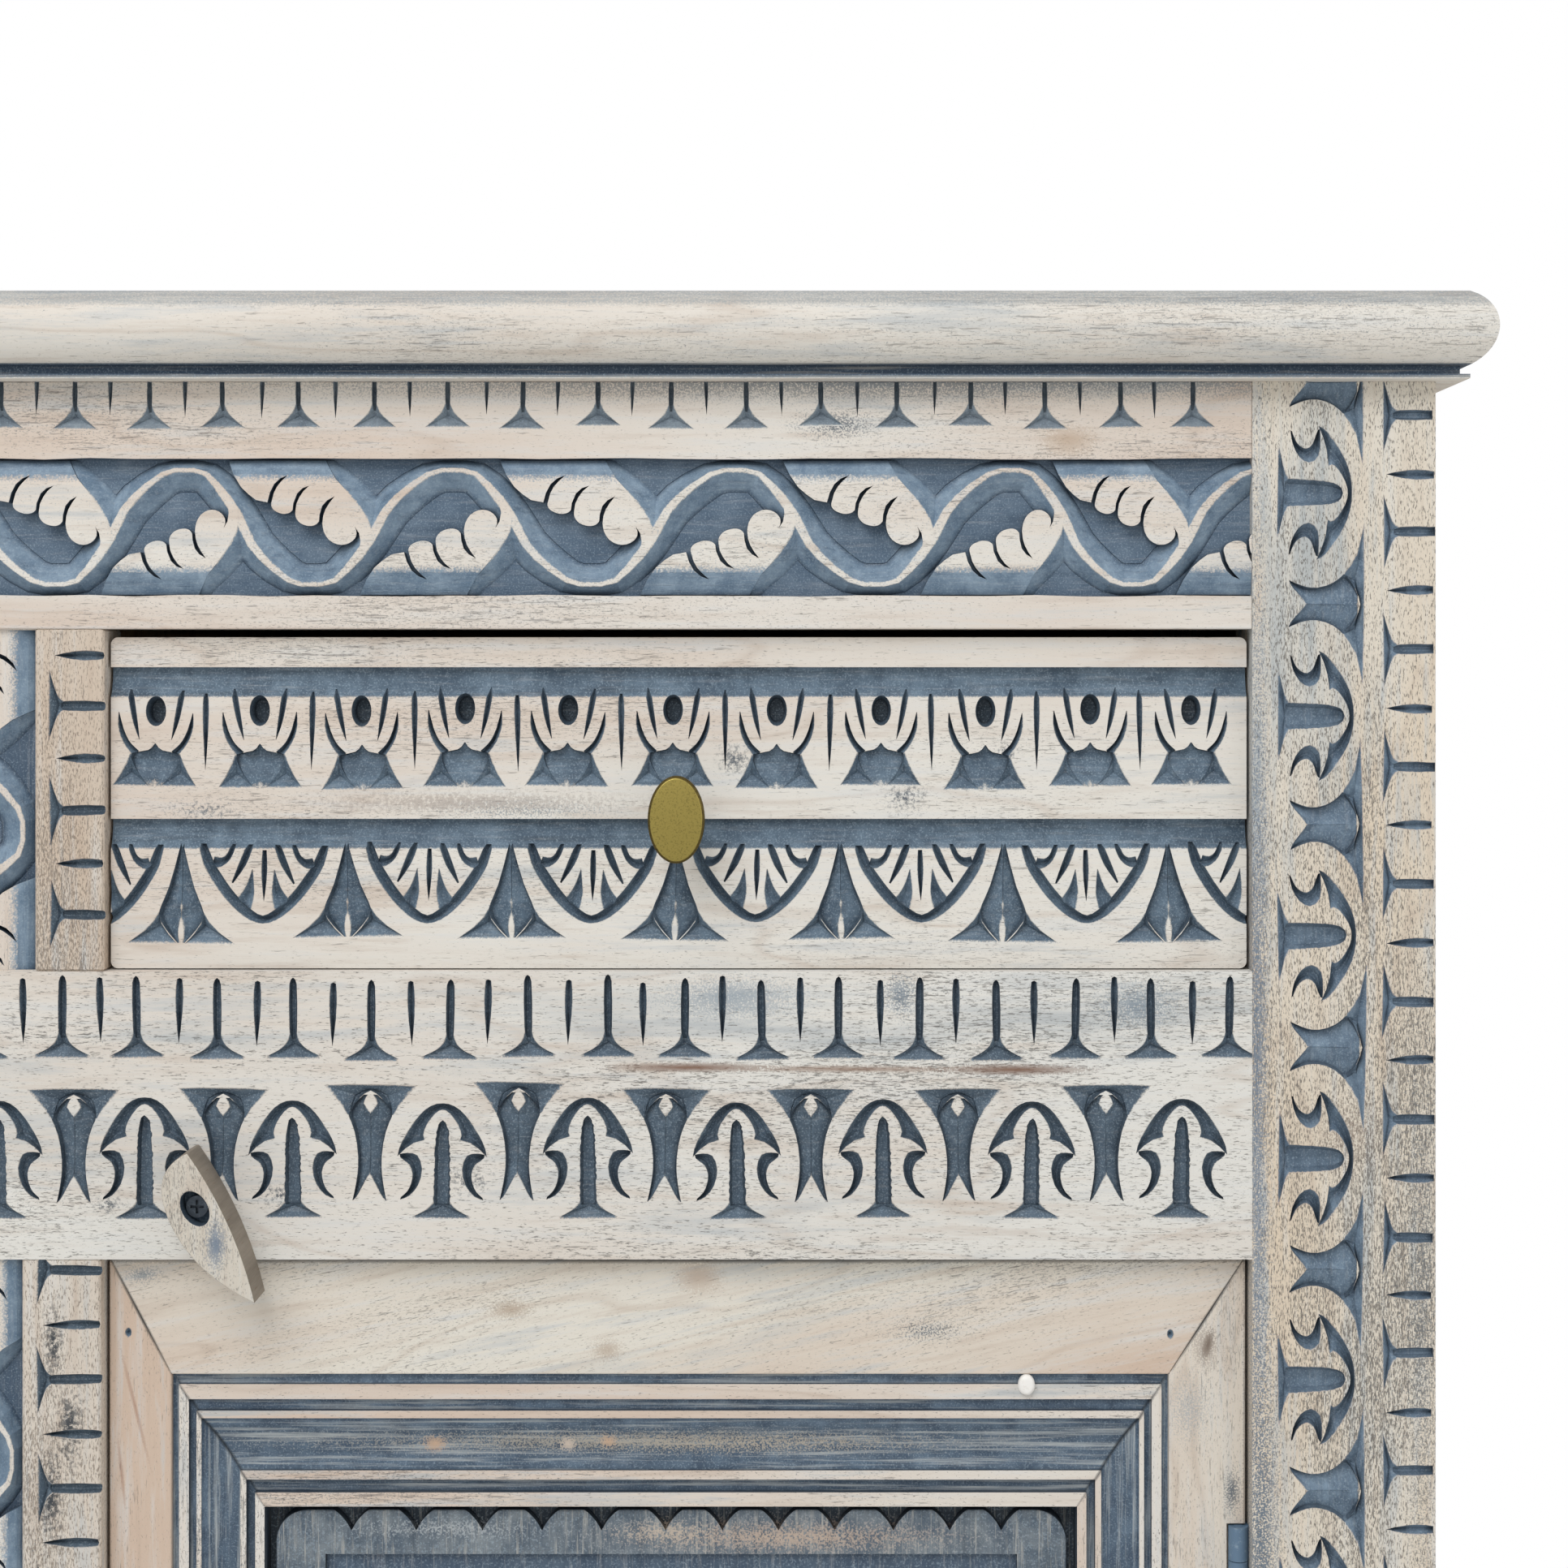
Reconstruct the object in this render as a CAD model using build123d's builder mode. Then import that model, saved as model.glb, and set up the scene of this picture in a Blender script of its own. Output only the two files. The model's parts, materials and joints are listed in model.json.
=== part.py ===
"""A carved two-door, two-drawer sideboard cabinet in solid mango wood, built piece by piece.

Millimetres, +Z up, the front faces -Y. The origin is the middle of the floor footprint. Paired pieces
are modelled once, in the right-hand bay (+X), and mirrored for the left-hand bay.
"""

from build123d import *
import os
from math import cos, radians, sin

os.makedirs("parts", exist_ok=True)

# ---------------------------------------------------------------- case, driving dimensions
case_depth = 400.0
leg_height = 50.0
bottom_rail_height = 46.0
door_opening_height = 447.4
drawer_rail_height = 106.5
drawer_opening_height = 126.6
frieze_height = 91.5
drawer_opening_width = 424.5
upper_panel_width = 60.0
upper_stile_width = 25.5
lower_panel_width = 50.4
lower_stile_width = 29.1
post_width = 67.8
post_thickness = 32.0
rear_post_width = 45.0
rear_post_thickness = 32.0
rail_thickness = 24.0
stile_thickness = 24.0
carved_panel_thickness = 14.0
carved_panel_recess = 2.0

# top board and its moulded edge
nose_height = 27.0
nose_projection = 8.4
quirk_height = 3.4
quirk_depth = 3.0
bead_height = 1.6
bead_overhang = 10.0

# inner boards
board_thickness = 15.0
door_stop_height = 8.0
partition_setback = 2.3
side_rail_thickness = 24.0
side_rail_setback = 4.0
side_top_rail_height = 70.0
side_bottom_rail_height = 60.0
side_panel_thickness = 10.0
back_panel_thickness = 8.0
back_rebate = 10.0
back_rail_thickness = 20.0
back_top_rail_height = 60.0
back_middle_rail_height = 40.0
runner_height = 25.0
runner_margin = 2.0
shelf_setback = 40.0
shelf_height = 320.0
cleat_size = 15.0
corner_block_size = 28.0

# joints between fixed boards
tenon_length = 20.0
side_tenon_length = 15.0
tenon_thickness = 8.0
tenon_shoulder = 9.0
groove_depth = 8.0
joint_clearance = 0.1

# drawers
drawer_recess = 5.4
drawer_front_thickness = 20.0
drawer_gap_side = 1.1
drawer_gap_top = 3.0
drawer_gap_bottom = 0.5
drawer_corner_radius = 2.7
drawer_side_inset = 3.0
drawer_side_thickness = 12.0
drawer_box_height = 110.0
drawer_rear_space = 16.6
drawer_bottom_thickness = 5.0
drawer_bottom_rise = 8.0
drawer_bottom_let_in = 5.0
drawer_housing_depth = 8.0
runner_clearance = 0.3
upper_cove_drop = 11.1
lower_cove_drop = 67.5
cove_height = 11.4
cove_depth = 3.2
cove_middle_depth = 2.6

# knob and its screw
knob_width = 20.7
knob_height = 31.8
knob_plate_thickness = 5.0
knob_projection = 23.0
knob_neck_radius = 4.5
knob_foot_radius = 6.5
knob_foot_thickness = 3.0
knob_edge_chamfer = 1.0
knob_drop = 5.0
screw_radius = 2.0
screw_head_radius = 4.5
screw_head_thickness = 2.5
screw_head_round = 1.0
screw_reach = 10.0
screw_end_clearance = 1.0
screw_clearance = 0.05

# doors
door_recess = 7.5
door_thickness = 24.0
door_gap_lock = 1.1
door_gap_hinge = 1.2
door_gap_top = 0.9
door_gap_bottom = 1.5
door_rail_width = 43.6
lock_stile_width = 23.1
hinge_stile_width = 28.4
moulding_rail_width = 51.2
moulding_stile_width = 33.6
moulding_front = 1.0
door_panel_ground = 17.0
door_panel_backing = 7.0
door_panel_relief = 8.0
door_panel_margin_side = 3.6
door_panel_margin_end = 2.4
door_panel_corner_radius = 12.0
mitre_clearance = 0.05

# the moulding's section as shares of its width, from its outer edge, with depths in millimetres
groove_1 = (0.0, 0.079)
groove_2 = (0.188, 0.273)
cove_span = (0.327, 0.733)
groove_3 = (0.8, 0.897)
first_groove_depth = 3.0
second_groove_depth = 3.2
cove_outer_depth = 1.4
cove_inner_depth = 6.2
cove_sagitta = 2.4
inner_bead_depth = 5.0
third_groove_depth = 8.0
inner_strip_depth = 5.4

# butt hinges
barrel_radius = 3.6
barrel_gap = 0.3
pin_radius = 1.6
pin_clearance = 0.05
hinge_height = 64.0
knuckle_count = 5
knuckle_gap = 0.3
leaf_thickness = 1.6
leaf_depth = 20.0
hinge_notch_margin = 0.6
web_offset = 2.5
web_lap = 1.0
hinge_end_distance = 99.9
leaf_screw_radius = 1.6
leaf_screw_head_radius = 3.0
leaf_screw_length = 14.0
leaf_screw_count = 3
leaf_screw_setback = 1.0
leaf_screw_margin = 1.0

# turn buttons: a hand-cut leaf, drawn about its screw with its tip along local -Y
button_thickness = 18.0
button_tip = (0.5, -40.6)
button_corner = (8.2, 18.6)
button_shoulder = (-4.6, 14.9)
button_belly = (-10.8, -3.0)
button_flank = (-7.4, -25.0)
button_straight_side = (7.0, -13.0)
button_tilt = 31.7
button_inset = 39.1
button_rise = 22.7
button_recess_width = 9.1
button_recess_length = 13.5
button_recess_depth = 7.0
button_screw_radius = 2.4
button_screw_head_radius = 4.0
button_screw_head_thickness = 3.2
button_screw_length = 18.0
cross_slot_width = 1.0
cross_slot_length = 5.0
cross_slot_depth = 1.6

# protective dot on the right door
dot_width = 6.3
dot_height = 7.8
dot_thickness = 2.6
dot_round = 1.8
dot_from_hinge_edge = 81.5
dot_below_top = 47.6

# ---------------------------------------------------------------- places worked out from them
nose_overhang = bead_overhang + nose_projection
front_y = -(case_depth + nose_overhang) / 2 + nose_overhang
back_y = front_y + case_depth
bottom_rail_top = leg_height + bottom_rail_height
drawer_rail_bottom = bottom_rail_top + door_opening_height
drawer_rail_top = drawer_rail_bottom + drawer_rail_height
frieze_bottom = drawer_rail_top + drawer_opening_height
case_top = frieze_bottom + frieze_height
top_thickness = bead_height + quirk_height + nose_height
drawer_opening_x = upper_panel_width / 2 + upper_stile_width
door_opening_x = lower_panel_width / 2 + lower_stile_width
post_inner_x = drawer_opening_x + drawer_opening_width
case_half = post_inner_x + post_width
rear_post_inner_x = case_half - rear_post_width
rear_post_y = back_y - rear_post_thickness
side_rail_outer_x = case_half - side_rail_setback
side_rail_inner_x = side_rail_outer_x - side_rail_thickness
side_panel_x = (side_rail_inner_x + side_rail_outer_x - side_panel_thickness) / 2
partition_outer_x = door_opening_x - partition_setback
partition_inner_x = partition_outer_x - board_thickness
back_rail_back_y = back_y - back_panel_thickness
back_rail_front_y = back_rail_back_y - back_rail_thickness
bottom_board_top = bottom_rail_top + door_stop_height
bottom_board_bottom = bottom_board_top - board_thickness


# ---------------------------------------------------------------- helpers
def block(x, y, z, mode=Mode.ADD):
    """Adds a rectangular block between pairs of coordinates to the piece being built."""
    with Locations(((x[0] + x[1]) / 2, (y[0] + y[1]) / 2, (z[0] + z[1]) / 2)):
        Box(x[1] - x[0], y[1] - y[0], z[1] - z[0], mode=mode)


def write(piece, name):
    """Labels a finished piece and writes it."""
    piece.part.label = name
    export_step(piece.part, f"parts/{name}.step")


def write_pair(piece, name):
    """Writes a right-hand piece, and its mirror image for the left-hand bay."""
    with BuildPart() as twin:
        add(piece.part)
        mirror(about=Plane.YZ, mode=Mode.REPLACE)
    write(piece, f"{name}_right")
    write(twin, f"{name}_left")


def front_plane(y):
    """A plane facing the front at depth y, with its x along +X and its y along +Z."""
    return Plane.XZ.offset(-y)


def grown(pair, margin):
    """A pair of coordinates moved apart by a margin at each end."""
    return (pair[0] - margin, pair[1] + margin)


# ---------------------------------------------------------------- tenons of the front rails
rail_spans = {
    "frieze": (frieze_bottom, case_top),
    "drawer": (drawer_rail_bottom, drawer_rail_top),
    "bottom": (leg_height, bottom_rail_top),
}
front_tenon_y = (
    front_y + (rail_thickness - tenon_thickness) / 2,
    front_y + (rail_thickness + tenon_thickness) / 2,
)
side_rail_spans = {
    "top": (case_top - side_top_rail_height, case_top),
    "bottom": (leg_height, leg_height + side_bottom_rail_height),
}
side_tenon_x = (
    side_rail_inner_x + (side_rail_thickness - tenon_thickness) / 2,
    side_rail_inner_x + (side_rail_thickness + tenon_thickness) / 2,
)
side_panel_bottom = side_rail_spans["bottom"][1] - groove_depth + joint_clearance
side_panel_top = side_rail_spans["top"][0] + groove_depth - joint_clearance
panel_groove_x = grown((side_panel_x, side_panel_x + side_panel_thickness), joint_clearance)


def rail_tenon_height(span):
    """The tenon's two levels on a rail between two levels."""
    return (span[0] + tenon_shoulder, span[1] - tenon_shoulder)


# ---------------------------------------------------------------- top board
with BuildPart() as top_board:
    block(
        (-case_half + bead_overhang, case_half - bead_overhang),
        (front_y + bead_overhang, back_y),
        (case_top, case_top + top_thickness),
    )
    edge_plane = Plane(origin=(-case_half, back_y, case_top), x_dir=(-1, 0, 0), z_dir=(0, 1, 0))
    nose_bottom = bead_height + quirk_height
    with BuildLine() as edge_path:
        Polyline(
            (-case_half, back_y, case_top),
            (-case_half, front_y, case_top),
            (case_half, front_y, case_top),
            (case_half, back_y, case_top),
        )
    with BuildSketch(edge_plane):
        with BuildLine():
            Polyline(
                (bead_overhang, top_thickness),
                (-2 * bead_overhang, top_thickness),
                (-2 * bead_overhang, 0),
                (bead_overhang, 0),
                (bead_overhang, bead_height),
                (bead_overhang - quirk_depth, bead_height),
                (bead_overhang - quirk_depth, nose_bottom),
                (bead_overhang, nose_bottom),
            )
            ThreePointArc(
                (bead_overhang, nose_bottom),
                (nose_overhang, nose_bottom + nose_height / 2),
                (bead_overhang, top_thickness),
            )
        make_face()
    sweep(path=edge_path.line, transition=Transition.RIGHT)
write(top_board, "top_board")

# ---------------------------------------------------------------- posts
with BuildPart() as front_post:
    block((post_inner_x, case_half), (front_y, front_y + post_thickness), (0, case_top))
    for span in rail_spans.values():
        block(
            (post_inner_x, post_inner_x + tenon_length + joint_clearance),
            grown(front_tenon_y, joint_clearance),
            grown(rail_tenon_height(span), joint_clearance),
            mode=Mode.SUBTRACT,
        )
    post_back = front_y + post_thickness
    for span in side_rail_spans.values():
        block(
            grown(side_tenon_x, joint_clearance),
            (post_back - side_tenon_length - joint_clearance, post_back),
            grown(rail_tenon_height(span), joint_clearance),
            mode=Mode.SUBTRACT,
        )
    block(
        panel_groove_x,
        (post_back - groove_depth, post_back),
        (side_rail_spans["bottom"][1], side_rail_spans["top"][0]),
        mode=Mode.SUBTRACT,
    )

with BuildPart() as rear_post:
    block((rear_post_inner_x, case_half), (rear_post_y, back_y), (0, case_top))
    for span in side_rail_spans.values():
        block(
            grown(side_tenon_x, joint_clearance),
            (rear_post_y, rear_post_y + side_tenon_length + joint_clearance),
            grown(rail_tenon_height(span), joint_clearance),
            mode=Mode.SUBTRACT,
        )
    block(
        panel_groove_x,
        (rear_post_y, rear_post_y + groove_depth),
        (side_rail_spans["bottom"][1], side_rail_spans["top"][0]),
        mode=Mode.SUBTRACT,
    )
    block(
        (rear_post_inner_x, rear_post_inner_x + back_rebate),
        (back_rail_back_y, back_y),
        (leg_height, case_top),
        mode=Mode.SUBTRACT,
    )
write_pair(rear_post, "rear_post")

# ---------------------------------------------------------------- front rails
button_x = door_opening_x + button_inset
button_z = drawer_rail_bottom + button_rise


def front_rail(span, thickness):
    """A rail between the front posts, with a stub tenon at each end."""
    block((-post_inner_x, post_inner_x), (front_y, front_y + thickness), span)
    block(
        (-post_inner_x - tenon_length, post_inner_x + tenon_length),
        front_tenon_y,
        rail_tenon_height(span),
    )


with BuildPart() as frieze_rail:
    front_rail(rail_spans["frieze"], rail_thickness)
write(frieze_rail, "frieze_rail")

with BuildPart() as drawer_rail:
    front_rail(rail_spans["drawer"], rail_thickness)
    with BuildSketch(front_plane(front_y)):
        with Locations((button_x, button_z), (-button_x, button_z)):
            Circle(button_screw_radius + screw_clearance)
    extrude(amount=-button_screw_length, mode=Mode.SUBTRACT)
write(drawer_rail, "drawer_rail")

with BuildPart() as bottom_rail:
    front_rail(rail_spans["bottom"], post_thickness)
write(bottom_rail, "bottom_rail")

# ---------------------------------------------------------------- centre bay
with BuildPart() as upper_stile:
    block(
        (upper_panel_width / 2, drawer_opening_x),
        (front_y, front_y + stile_thickness),
        (drawer_rail_top, frieze_bottom),
    )
write_pair(upper_stile, "upper_stile")

with BuildPart() as lower_stile:
    block(
        (lower_panel_width / 2, door_opening_x),
        (front_y, front_y + stile_thickness),
        (bottom_rail_top, drawer_rail_bottom),
    )
write_pair(lower_stile, "lower_stile")

carved_panel_y = front_y + carved_panel_recess
with BuildPart() as upper_carved_panel:
    block(
        (-upper_panel_width / 2, upper_panel_width / 2),
        (carved_panel_y, carved_panel_y + carved_panel_thickness),
        (drawer_rail_top, frieze_bottom),
    )
write(upper_carved_panel, "upper_carved_panel")

with BuildPart() as lower_carved_panel:
    block(
        (-lower_panel_width / 2, lower_panel_width / 2),
        (carved_panel_y, carved_panel_y + carved_panel_thickness),
        (bottom_rail_top, drawer_rail_bottom),
    )
write(lower_carved_panel, "lower_carved_panel")

# ---------------------------------------------------------------- sides
side_y = (front_y + post_thickness, rear_post_y)
with BuildPart() as side_rails:
    for span in side_rail_spans.values():
        block((side_rail_inner_x, side_rail_outer_x), side_y, span)
        block(side_tenon_x, grown(side_y, side_tenon_length), rail_tenon_height(span))
    block(
        panel_groove_x,
        side_y,
        (side_rail_spans["bottom"][1] - groove_depth, side_rail_spans["top"][0] + groove_depth),
        mode=Mode.SUBTRACT,
    )
write_pair(side_rails, "side_rails")

with BuildPart() as side_panel:
    block(
        (side_panel_x, side_panel_x + side_panel_thickness),
        grown(side_y, groove_depth - joint_clearance),
        (side_rail_spans["bottom"][1], side_rail_spans["top"][0]),
    )
    block(
        (side_panel_x, side_panel_x + side_panel_thickness),
        side_y,
        (side_panel_bottom, side_panel_top),
    )
write_pair(side_panel, "side_panel")

# ---------------------------------------------------------------- back
runner_top = drawer_rail_top
back_rail_spans = (
    (case_top - back_top_rail_height, case_top),
    (runner_top - back_middle_rail_height, runner_top),
    (leg_height, bottom_board_bottom),
)
with BuildPart() as back_rails:
    for span in back_rail_spans:
        block((-rear_post_inner_x, rear_post_inner_x), (back_rail_front_y, back_rail_back_y), span)
write(back_rails, "back_rails")

with BuildPart() as back_panel:
    block(
        (-rear_post_inner_x - back_rebate, rear_post_inner_x + back_rebate),
        (back_rail_back_y, back_y),
        (leg_height, case_top),
    )
write(back_panel, "back_panel")

# ---------------------------------------------------------------- bottom board, partitions, shelves
bottom_board_y = front_y + post_thickness
with BuildPart() as bottom_board:
    block(
        (-side_rail_inner_x, side_rail_inner_x),
        (bottom_board_y, rear_post_y),
        (bottom_board_bottom, bottom_board_top),
    )
    block(
        (-rear_post_inner_x, rear_post_inner_x),
        (rear_post_y, back_rail_back_y),
        (bottom_board_bottom, bottom_board_top),
    )
write(bottom_board, "bottom_board")

with BuildPart() as partition:
    block(
        (partition_inner_x, partition_outer_x),
        (front_y + rail_thickness, back_rail_front_y),
        (bottom_board_top, case_top),
    )
    block(
        (partition_inner_x, partition_outer_x),
        (front_y + rail_thickness, front_y + post_thickness),
        (bottom_rail_top, bottom_board_top),
    )
write_pair(partition, "partition")

shelf_front_y = front_y + door_recess + door_thickness + shelf_setback
shelf_x = (partition_outer_x, side_panel_x)
with BuildPart() as shelf:
    block(
        shelf_x,
        (shelf_front_y, back_rail_back_y),
        (shelf_height, shelf_height + board_thickness),
    )
    block(
        (rear_post_inner_x - joint_clearance, side_panel_x),
        (rear_post_y - joint_clearance, back_rail_back_y),
        (shelf_height, shelf_height + board_thickness),
        mode=Mode.SUBTRACT,
    )
write_pair(shelf, "shelf")

cleat_z = (shelf_height - cleat_size, shelf_height)
with BuildPart() as shelf_cleats:
    block(
        (partition_outer_x, partition_outer_x + cleat_size),
        (shelf_front_y, back_rail_front_y),
        cleat_z,
    )
    block((side_panel_x - cleat_size, side_panel_x), (shelf_front_y, rear_post_y), cleat_z)
    mirror(about=Plane.YZ)
write(shelf_cleats, "shelf_cleats")

corner_block_places = (
    (post_inner_x - corner_block_size, front_y + rail_thickness),
    (rear_post_inner_x - corner_block_size, back_rail_front_y - corner_block_size),
)
with BuildPart() as corner_blocks:
    for x, y in corner_block_places:
        block(
            (x, x + corner_block_size),
            (y, y + corner_block_size),
            (case_top - corner_block_size, case_top),
        )
    mirror(about=Plane.YZ)
write(corner_blocks, "corner_blocks")

# ---------------------------------------------------------------- drawers
drawer_x = (drawer_opening_x + drawer_gap_side, post_inner_x - drawer_gap_side)
drawer_z = (drawer_rail_top + drawer_gap_bottom, frieze_bottom - drawer_gap_top)
drawer_front_y = front_y + drawer_recess
drawer_back_face_y = drawer_front_y + drawer_front_thickness
box_bottom = runner_top + runner_clearance
box_top = box_bottom + drawer_box_height
box_outer_x = (drawer_x[0] + drawer_side_inset, drawer_x[1] - drawer_side_inset)
box_inner_x = (box_outer_x[0] + drawer_side_thickness, box_outer_x[1] - drawer_side_thickness)
box_end_y = back_rail_front_y - drawer_rear_space
bottom_z = (
    box_bottom + drawer_bottom_rise,
    box_bottom + drawer_bottom_rise + drawer_bottom_thickness,
)
drawer_side_spans = (
    (box_outer_x[0], box_inner_x[0]),
    (box_inner_x[1], box_outer_x[1]),
)
knob_x = (drawer_x[0] + drawer_x[1]) / 2
knob_z = (drawer_z[0] + drawer_z[1]) / 2 - knob_drop
cove_drops = (upper_cove_drop, lower_cove_drop)

with BuildPart() as drawer_front:
    block(drawer_x, (drawer_front_y, drawer_back_face_y), drawer_z)
    fillet(drawer_front.edges().filter_by(Axis.Y), drawer_corner_radius)
    for drop in cove_drops:
        cove_top = drawer_z[1] - drop
        with BuildSketch(Plane.YZ.offset(drawer_x[0])):
            with BuildLine():
                Polyline(
                    (drawer_front_y, cove_top - cove_height),
                    (drawer_front_y - cove_depth, cove_top - cove_height),
                    (drawer_front_y - cove_depth, cove_top),
                    (drawer_front_y + cove_depth, cove_top),
                )
                ThreePointArc(
                    (drawer_front_y + cove_depth, cove_top),
                    (drawer_front_y + cove_middle_depth, cove_top - cove_height / 2),
                    (drawer_front_y, cove_top - cove_height),
                )
            make_face()
        extrude(amount=drawer_x[1] - drawer_x[0], mode=Mode.SUBTRACT)
    for span in drawer_side_spans:
        block(
            grown(span, joint_clearance),
            (drawer_back_face_y - drawer_housing_depth - joint_clearance, drawer_back_face_y),
            grown((box_bottom, box_top), joint_clearance),
            mode=Mode.SUBTRACT,
        )
    block(
        box_inner_x,
        (drawer_back_face_y - drawer_bottom_let_in - joint_clearance, drawer_back_face_y),
        grown(bottom_z, joint_clearance),
        mode=Mode.SUBTRACT,
    )
    with BuildSketch(front_plane(drawer_front_y)):
        with Locations((knob_x, knob_z)):
            Circle(screw_radius + screw_clearance)
    extrude(amount=-drawer_front_thickness, mode=Mode.SUBTRACT)
write_pair(drawer_front, "drawer_front")

with BuildPart() as drawer_sides:
    for span in drawer_side_spans:
        block(span, (drawer_back_face_y - drawer_housing_depth, box_end_y), (box_bottom, box_top))
    block(
        grown(box_inner_x, drawer_bottom_let_in + joint_clearance),
        (drawer_back_face_y - drawer_housing_depth, box_end_y),
        grown(bottom_z, joint_clearance),
        mode=Mode.SUBTRACT,
    )
write_pair(drawer_sides, "drawer_sides")

with BuildPart() as drawer_back:
    block(box_inner_x, (box_end_y - drawer_side_thickness, box_end_y), (bottom_z[1], box_top))
write_pair(drawer_back, "drawer_back")

with BuildPart() as drawer_bottom:
    block(box_inner_x, (drawer_back_face_y - drawer_bottom_let_in, box_end_y), bottom_z)
    block(
        grown(box_inner_x, drawer_bottom_let_in),
        (drawer_back_face_y + joint_clearance, box_end_y),
        bottom_z,
    )
write_pair(drawer_bottom, "drawer_bottom")

runner_y = (front_y + rail_thickness, back_rail_front_y)
runner_inner_x = (partition_outer_x, drawer_side_spans[0][1])
runner_outer_x = (drawer_side_spans[1][0] - runner_margin, post_inner_x)
with BuildPart() as drawer_runners:
    for span in (runner_inner_x, runner_outer_x):
        block(span, runner_y, (runner_top - runner_height, runner_top))
    mirror(about=Plane.YZ)
write(drawer_runners, "drawer_runners")

# knob: a foot on the drawer, a waisted neck and an oval plate
knob_face_y = drawer_front_y - knob_projection
plate_back_y = knob_face_y + knob_plate_thickness
foot_front_y = drawer_front_y - knob_foot_thickness
with BuildPart() as drawer_knob:
    with BuildSketch(front_plane(plate_back_y)):
        with Locations((knob_x, knob_z)):
            Ellipse(knob_width / 2, knob_height / 2)
    extrude(amount=knob_plate_thickness)
    face_edges = drawer_knob.faces().sort_by(Axis.Y)[0].edges()
    chamfer(face_edges, knob_edge_chamfer)
    with BuildSketch(front_plane(drawer_front_y)):
        with Locations((knob_x, knob_z)):
            Circle(knob_foot_radius)
    extrude(amount=knob_foot_thickness)
    with BuildSketch(front_plane(foot_front_y)):
        with Locations((knob_x, knob_z)):
            Circle(knob_neck_radius)
    extrude(amount=foot_front_y - plate_back_y)
    with BuildSketch(front_plane(drawer_front_y)):
        with Locations((knob_x, knob_z)):
            Circle(screw_radius + screw_clearance)
    extrude(amount=screw_reach + screw_end_clearance, mode=Mode.SUBTRACT)
write_pair(drawer_knob, "drawer_knob")

with BuildPart() as knob_screw:
    with BuildSketch(front_plane(drawer_back_face_y)):
        with Locations((knob_x, knob_z)):
            Circle(screw_radius)
    extrude(amount=drawer_front_thickness + screw_reach)
    with BuildSketch(front_plane(drawer_back_face_y)):
        with Locations((knob_x, knob_z)):
            Circle(screw_head_radius)
    extrude(amount=-screw_head_thickness)
    fillet(knob_screw.faces().sort_by(Axis.Y)[-1].edges(), screw_head_round)
write_pair(knob_screw, "knob_screw")

# ---------------------------------------------------------------- doors
door_x = (door_opening_x + door_gap_lock, post_inner_x - door_gap_hinge)
door_z = (bottom_rail_top + door_gap_bottom, drawer_rail_bottom - door_gap_top)
door_face_y = front_y + door_recess
frame_inner_x = (door_x[0] + lock_stile_width, door_x[1] - hinge_stile_width)
frame_inner_z = (door_z[0] + door_rail_width, door_z[1] - door_rail_width)
moulding_inner_x = (frame_inner_x[0] + moulding_stile_width, frame_inner_x[1] - moulding_stile_width)
moulding_inner_z = (frame_inner_z[0] + moulding_rail_width, frame_inner_z[1] - moulding_rail_width)

# hinge places
axis_x = post_inner_x - barrel_gap - barrel_radius
axis_y = door_face_y
hinge_centres = (door_z[0] + hinge_end_distance, door_z[1] - hinge_end_distance - hinge_height)
leaf_y = (axis_y + web_offset, axis_y + leaf_depth)
notch_reach = barrel_radius + hinge_notch_margin
knuckle_pitch = hinge_height / knuckle_count


def mitred_outline(outer_x, outer_z, inner_x, inner_z, edge):
    """Four corners of one mitred member of a rectangular frame, drawn in at its ends by the mitre gap."""
    if edge in ("top", "bottom"):
        end = 1 if edge == "top" else 0
        outer, inner = grown(outer_x, -mitre_clearance), grown(inner_x, -mitre_clearance)
        return [
            (outer[0], outer_z[end]),
            (outer[1], outer_z[end]),
            (inner[1], inner_z[end]),
            (inner[0], inner_z[end]),
        ]
    end = 1 if edge == "hinge" else 0
    outer, inner = grown(outer_z, -mitre_clearance), grown(inner_z, -mitre_clearance)
    return [
        (outer_x[end], outer[0]),
        (outer_x[end], outer[1]),
        (inner_x[end], inner[1]),
        (inner_x[end], inner[0]),
    ]


def mitred_board(outline, y, depth, mode=Mode.ADD):
    """A board with a mitred outline, from depth y backwards."""
    with BuildSketch(front_plane(y)) as shape:
        with BuildLine():
            Polyline(*outline, close=True)
        make_face()
    extrude(shape.sketch, amount=-depth, mode=mode)


def leaf_face(x, outward):
    """The plane of a leaf's outer face, which looks along +X or -X, on the line of its screws."""
    origin = (x, (leaf_y[0] + leaf_y[1]) / 2 + leaf_screw_setback, 0)
    return Plane(origin=origin, x_dir=(0, 1, 0), z_dir=(outward, 0, 0))


def leaf_screw_spots(bottom, outward):
    """Places of a hinge's screws on its leaf's face."""
    step = hinge_height / leaf_screw_count
    return [(0, outward * (bottom + step * (i + 0.5))) for i in range(leaf_screw_count)]


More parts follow.
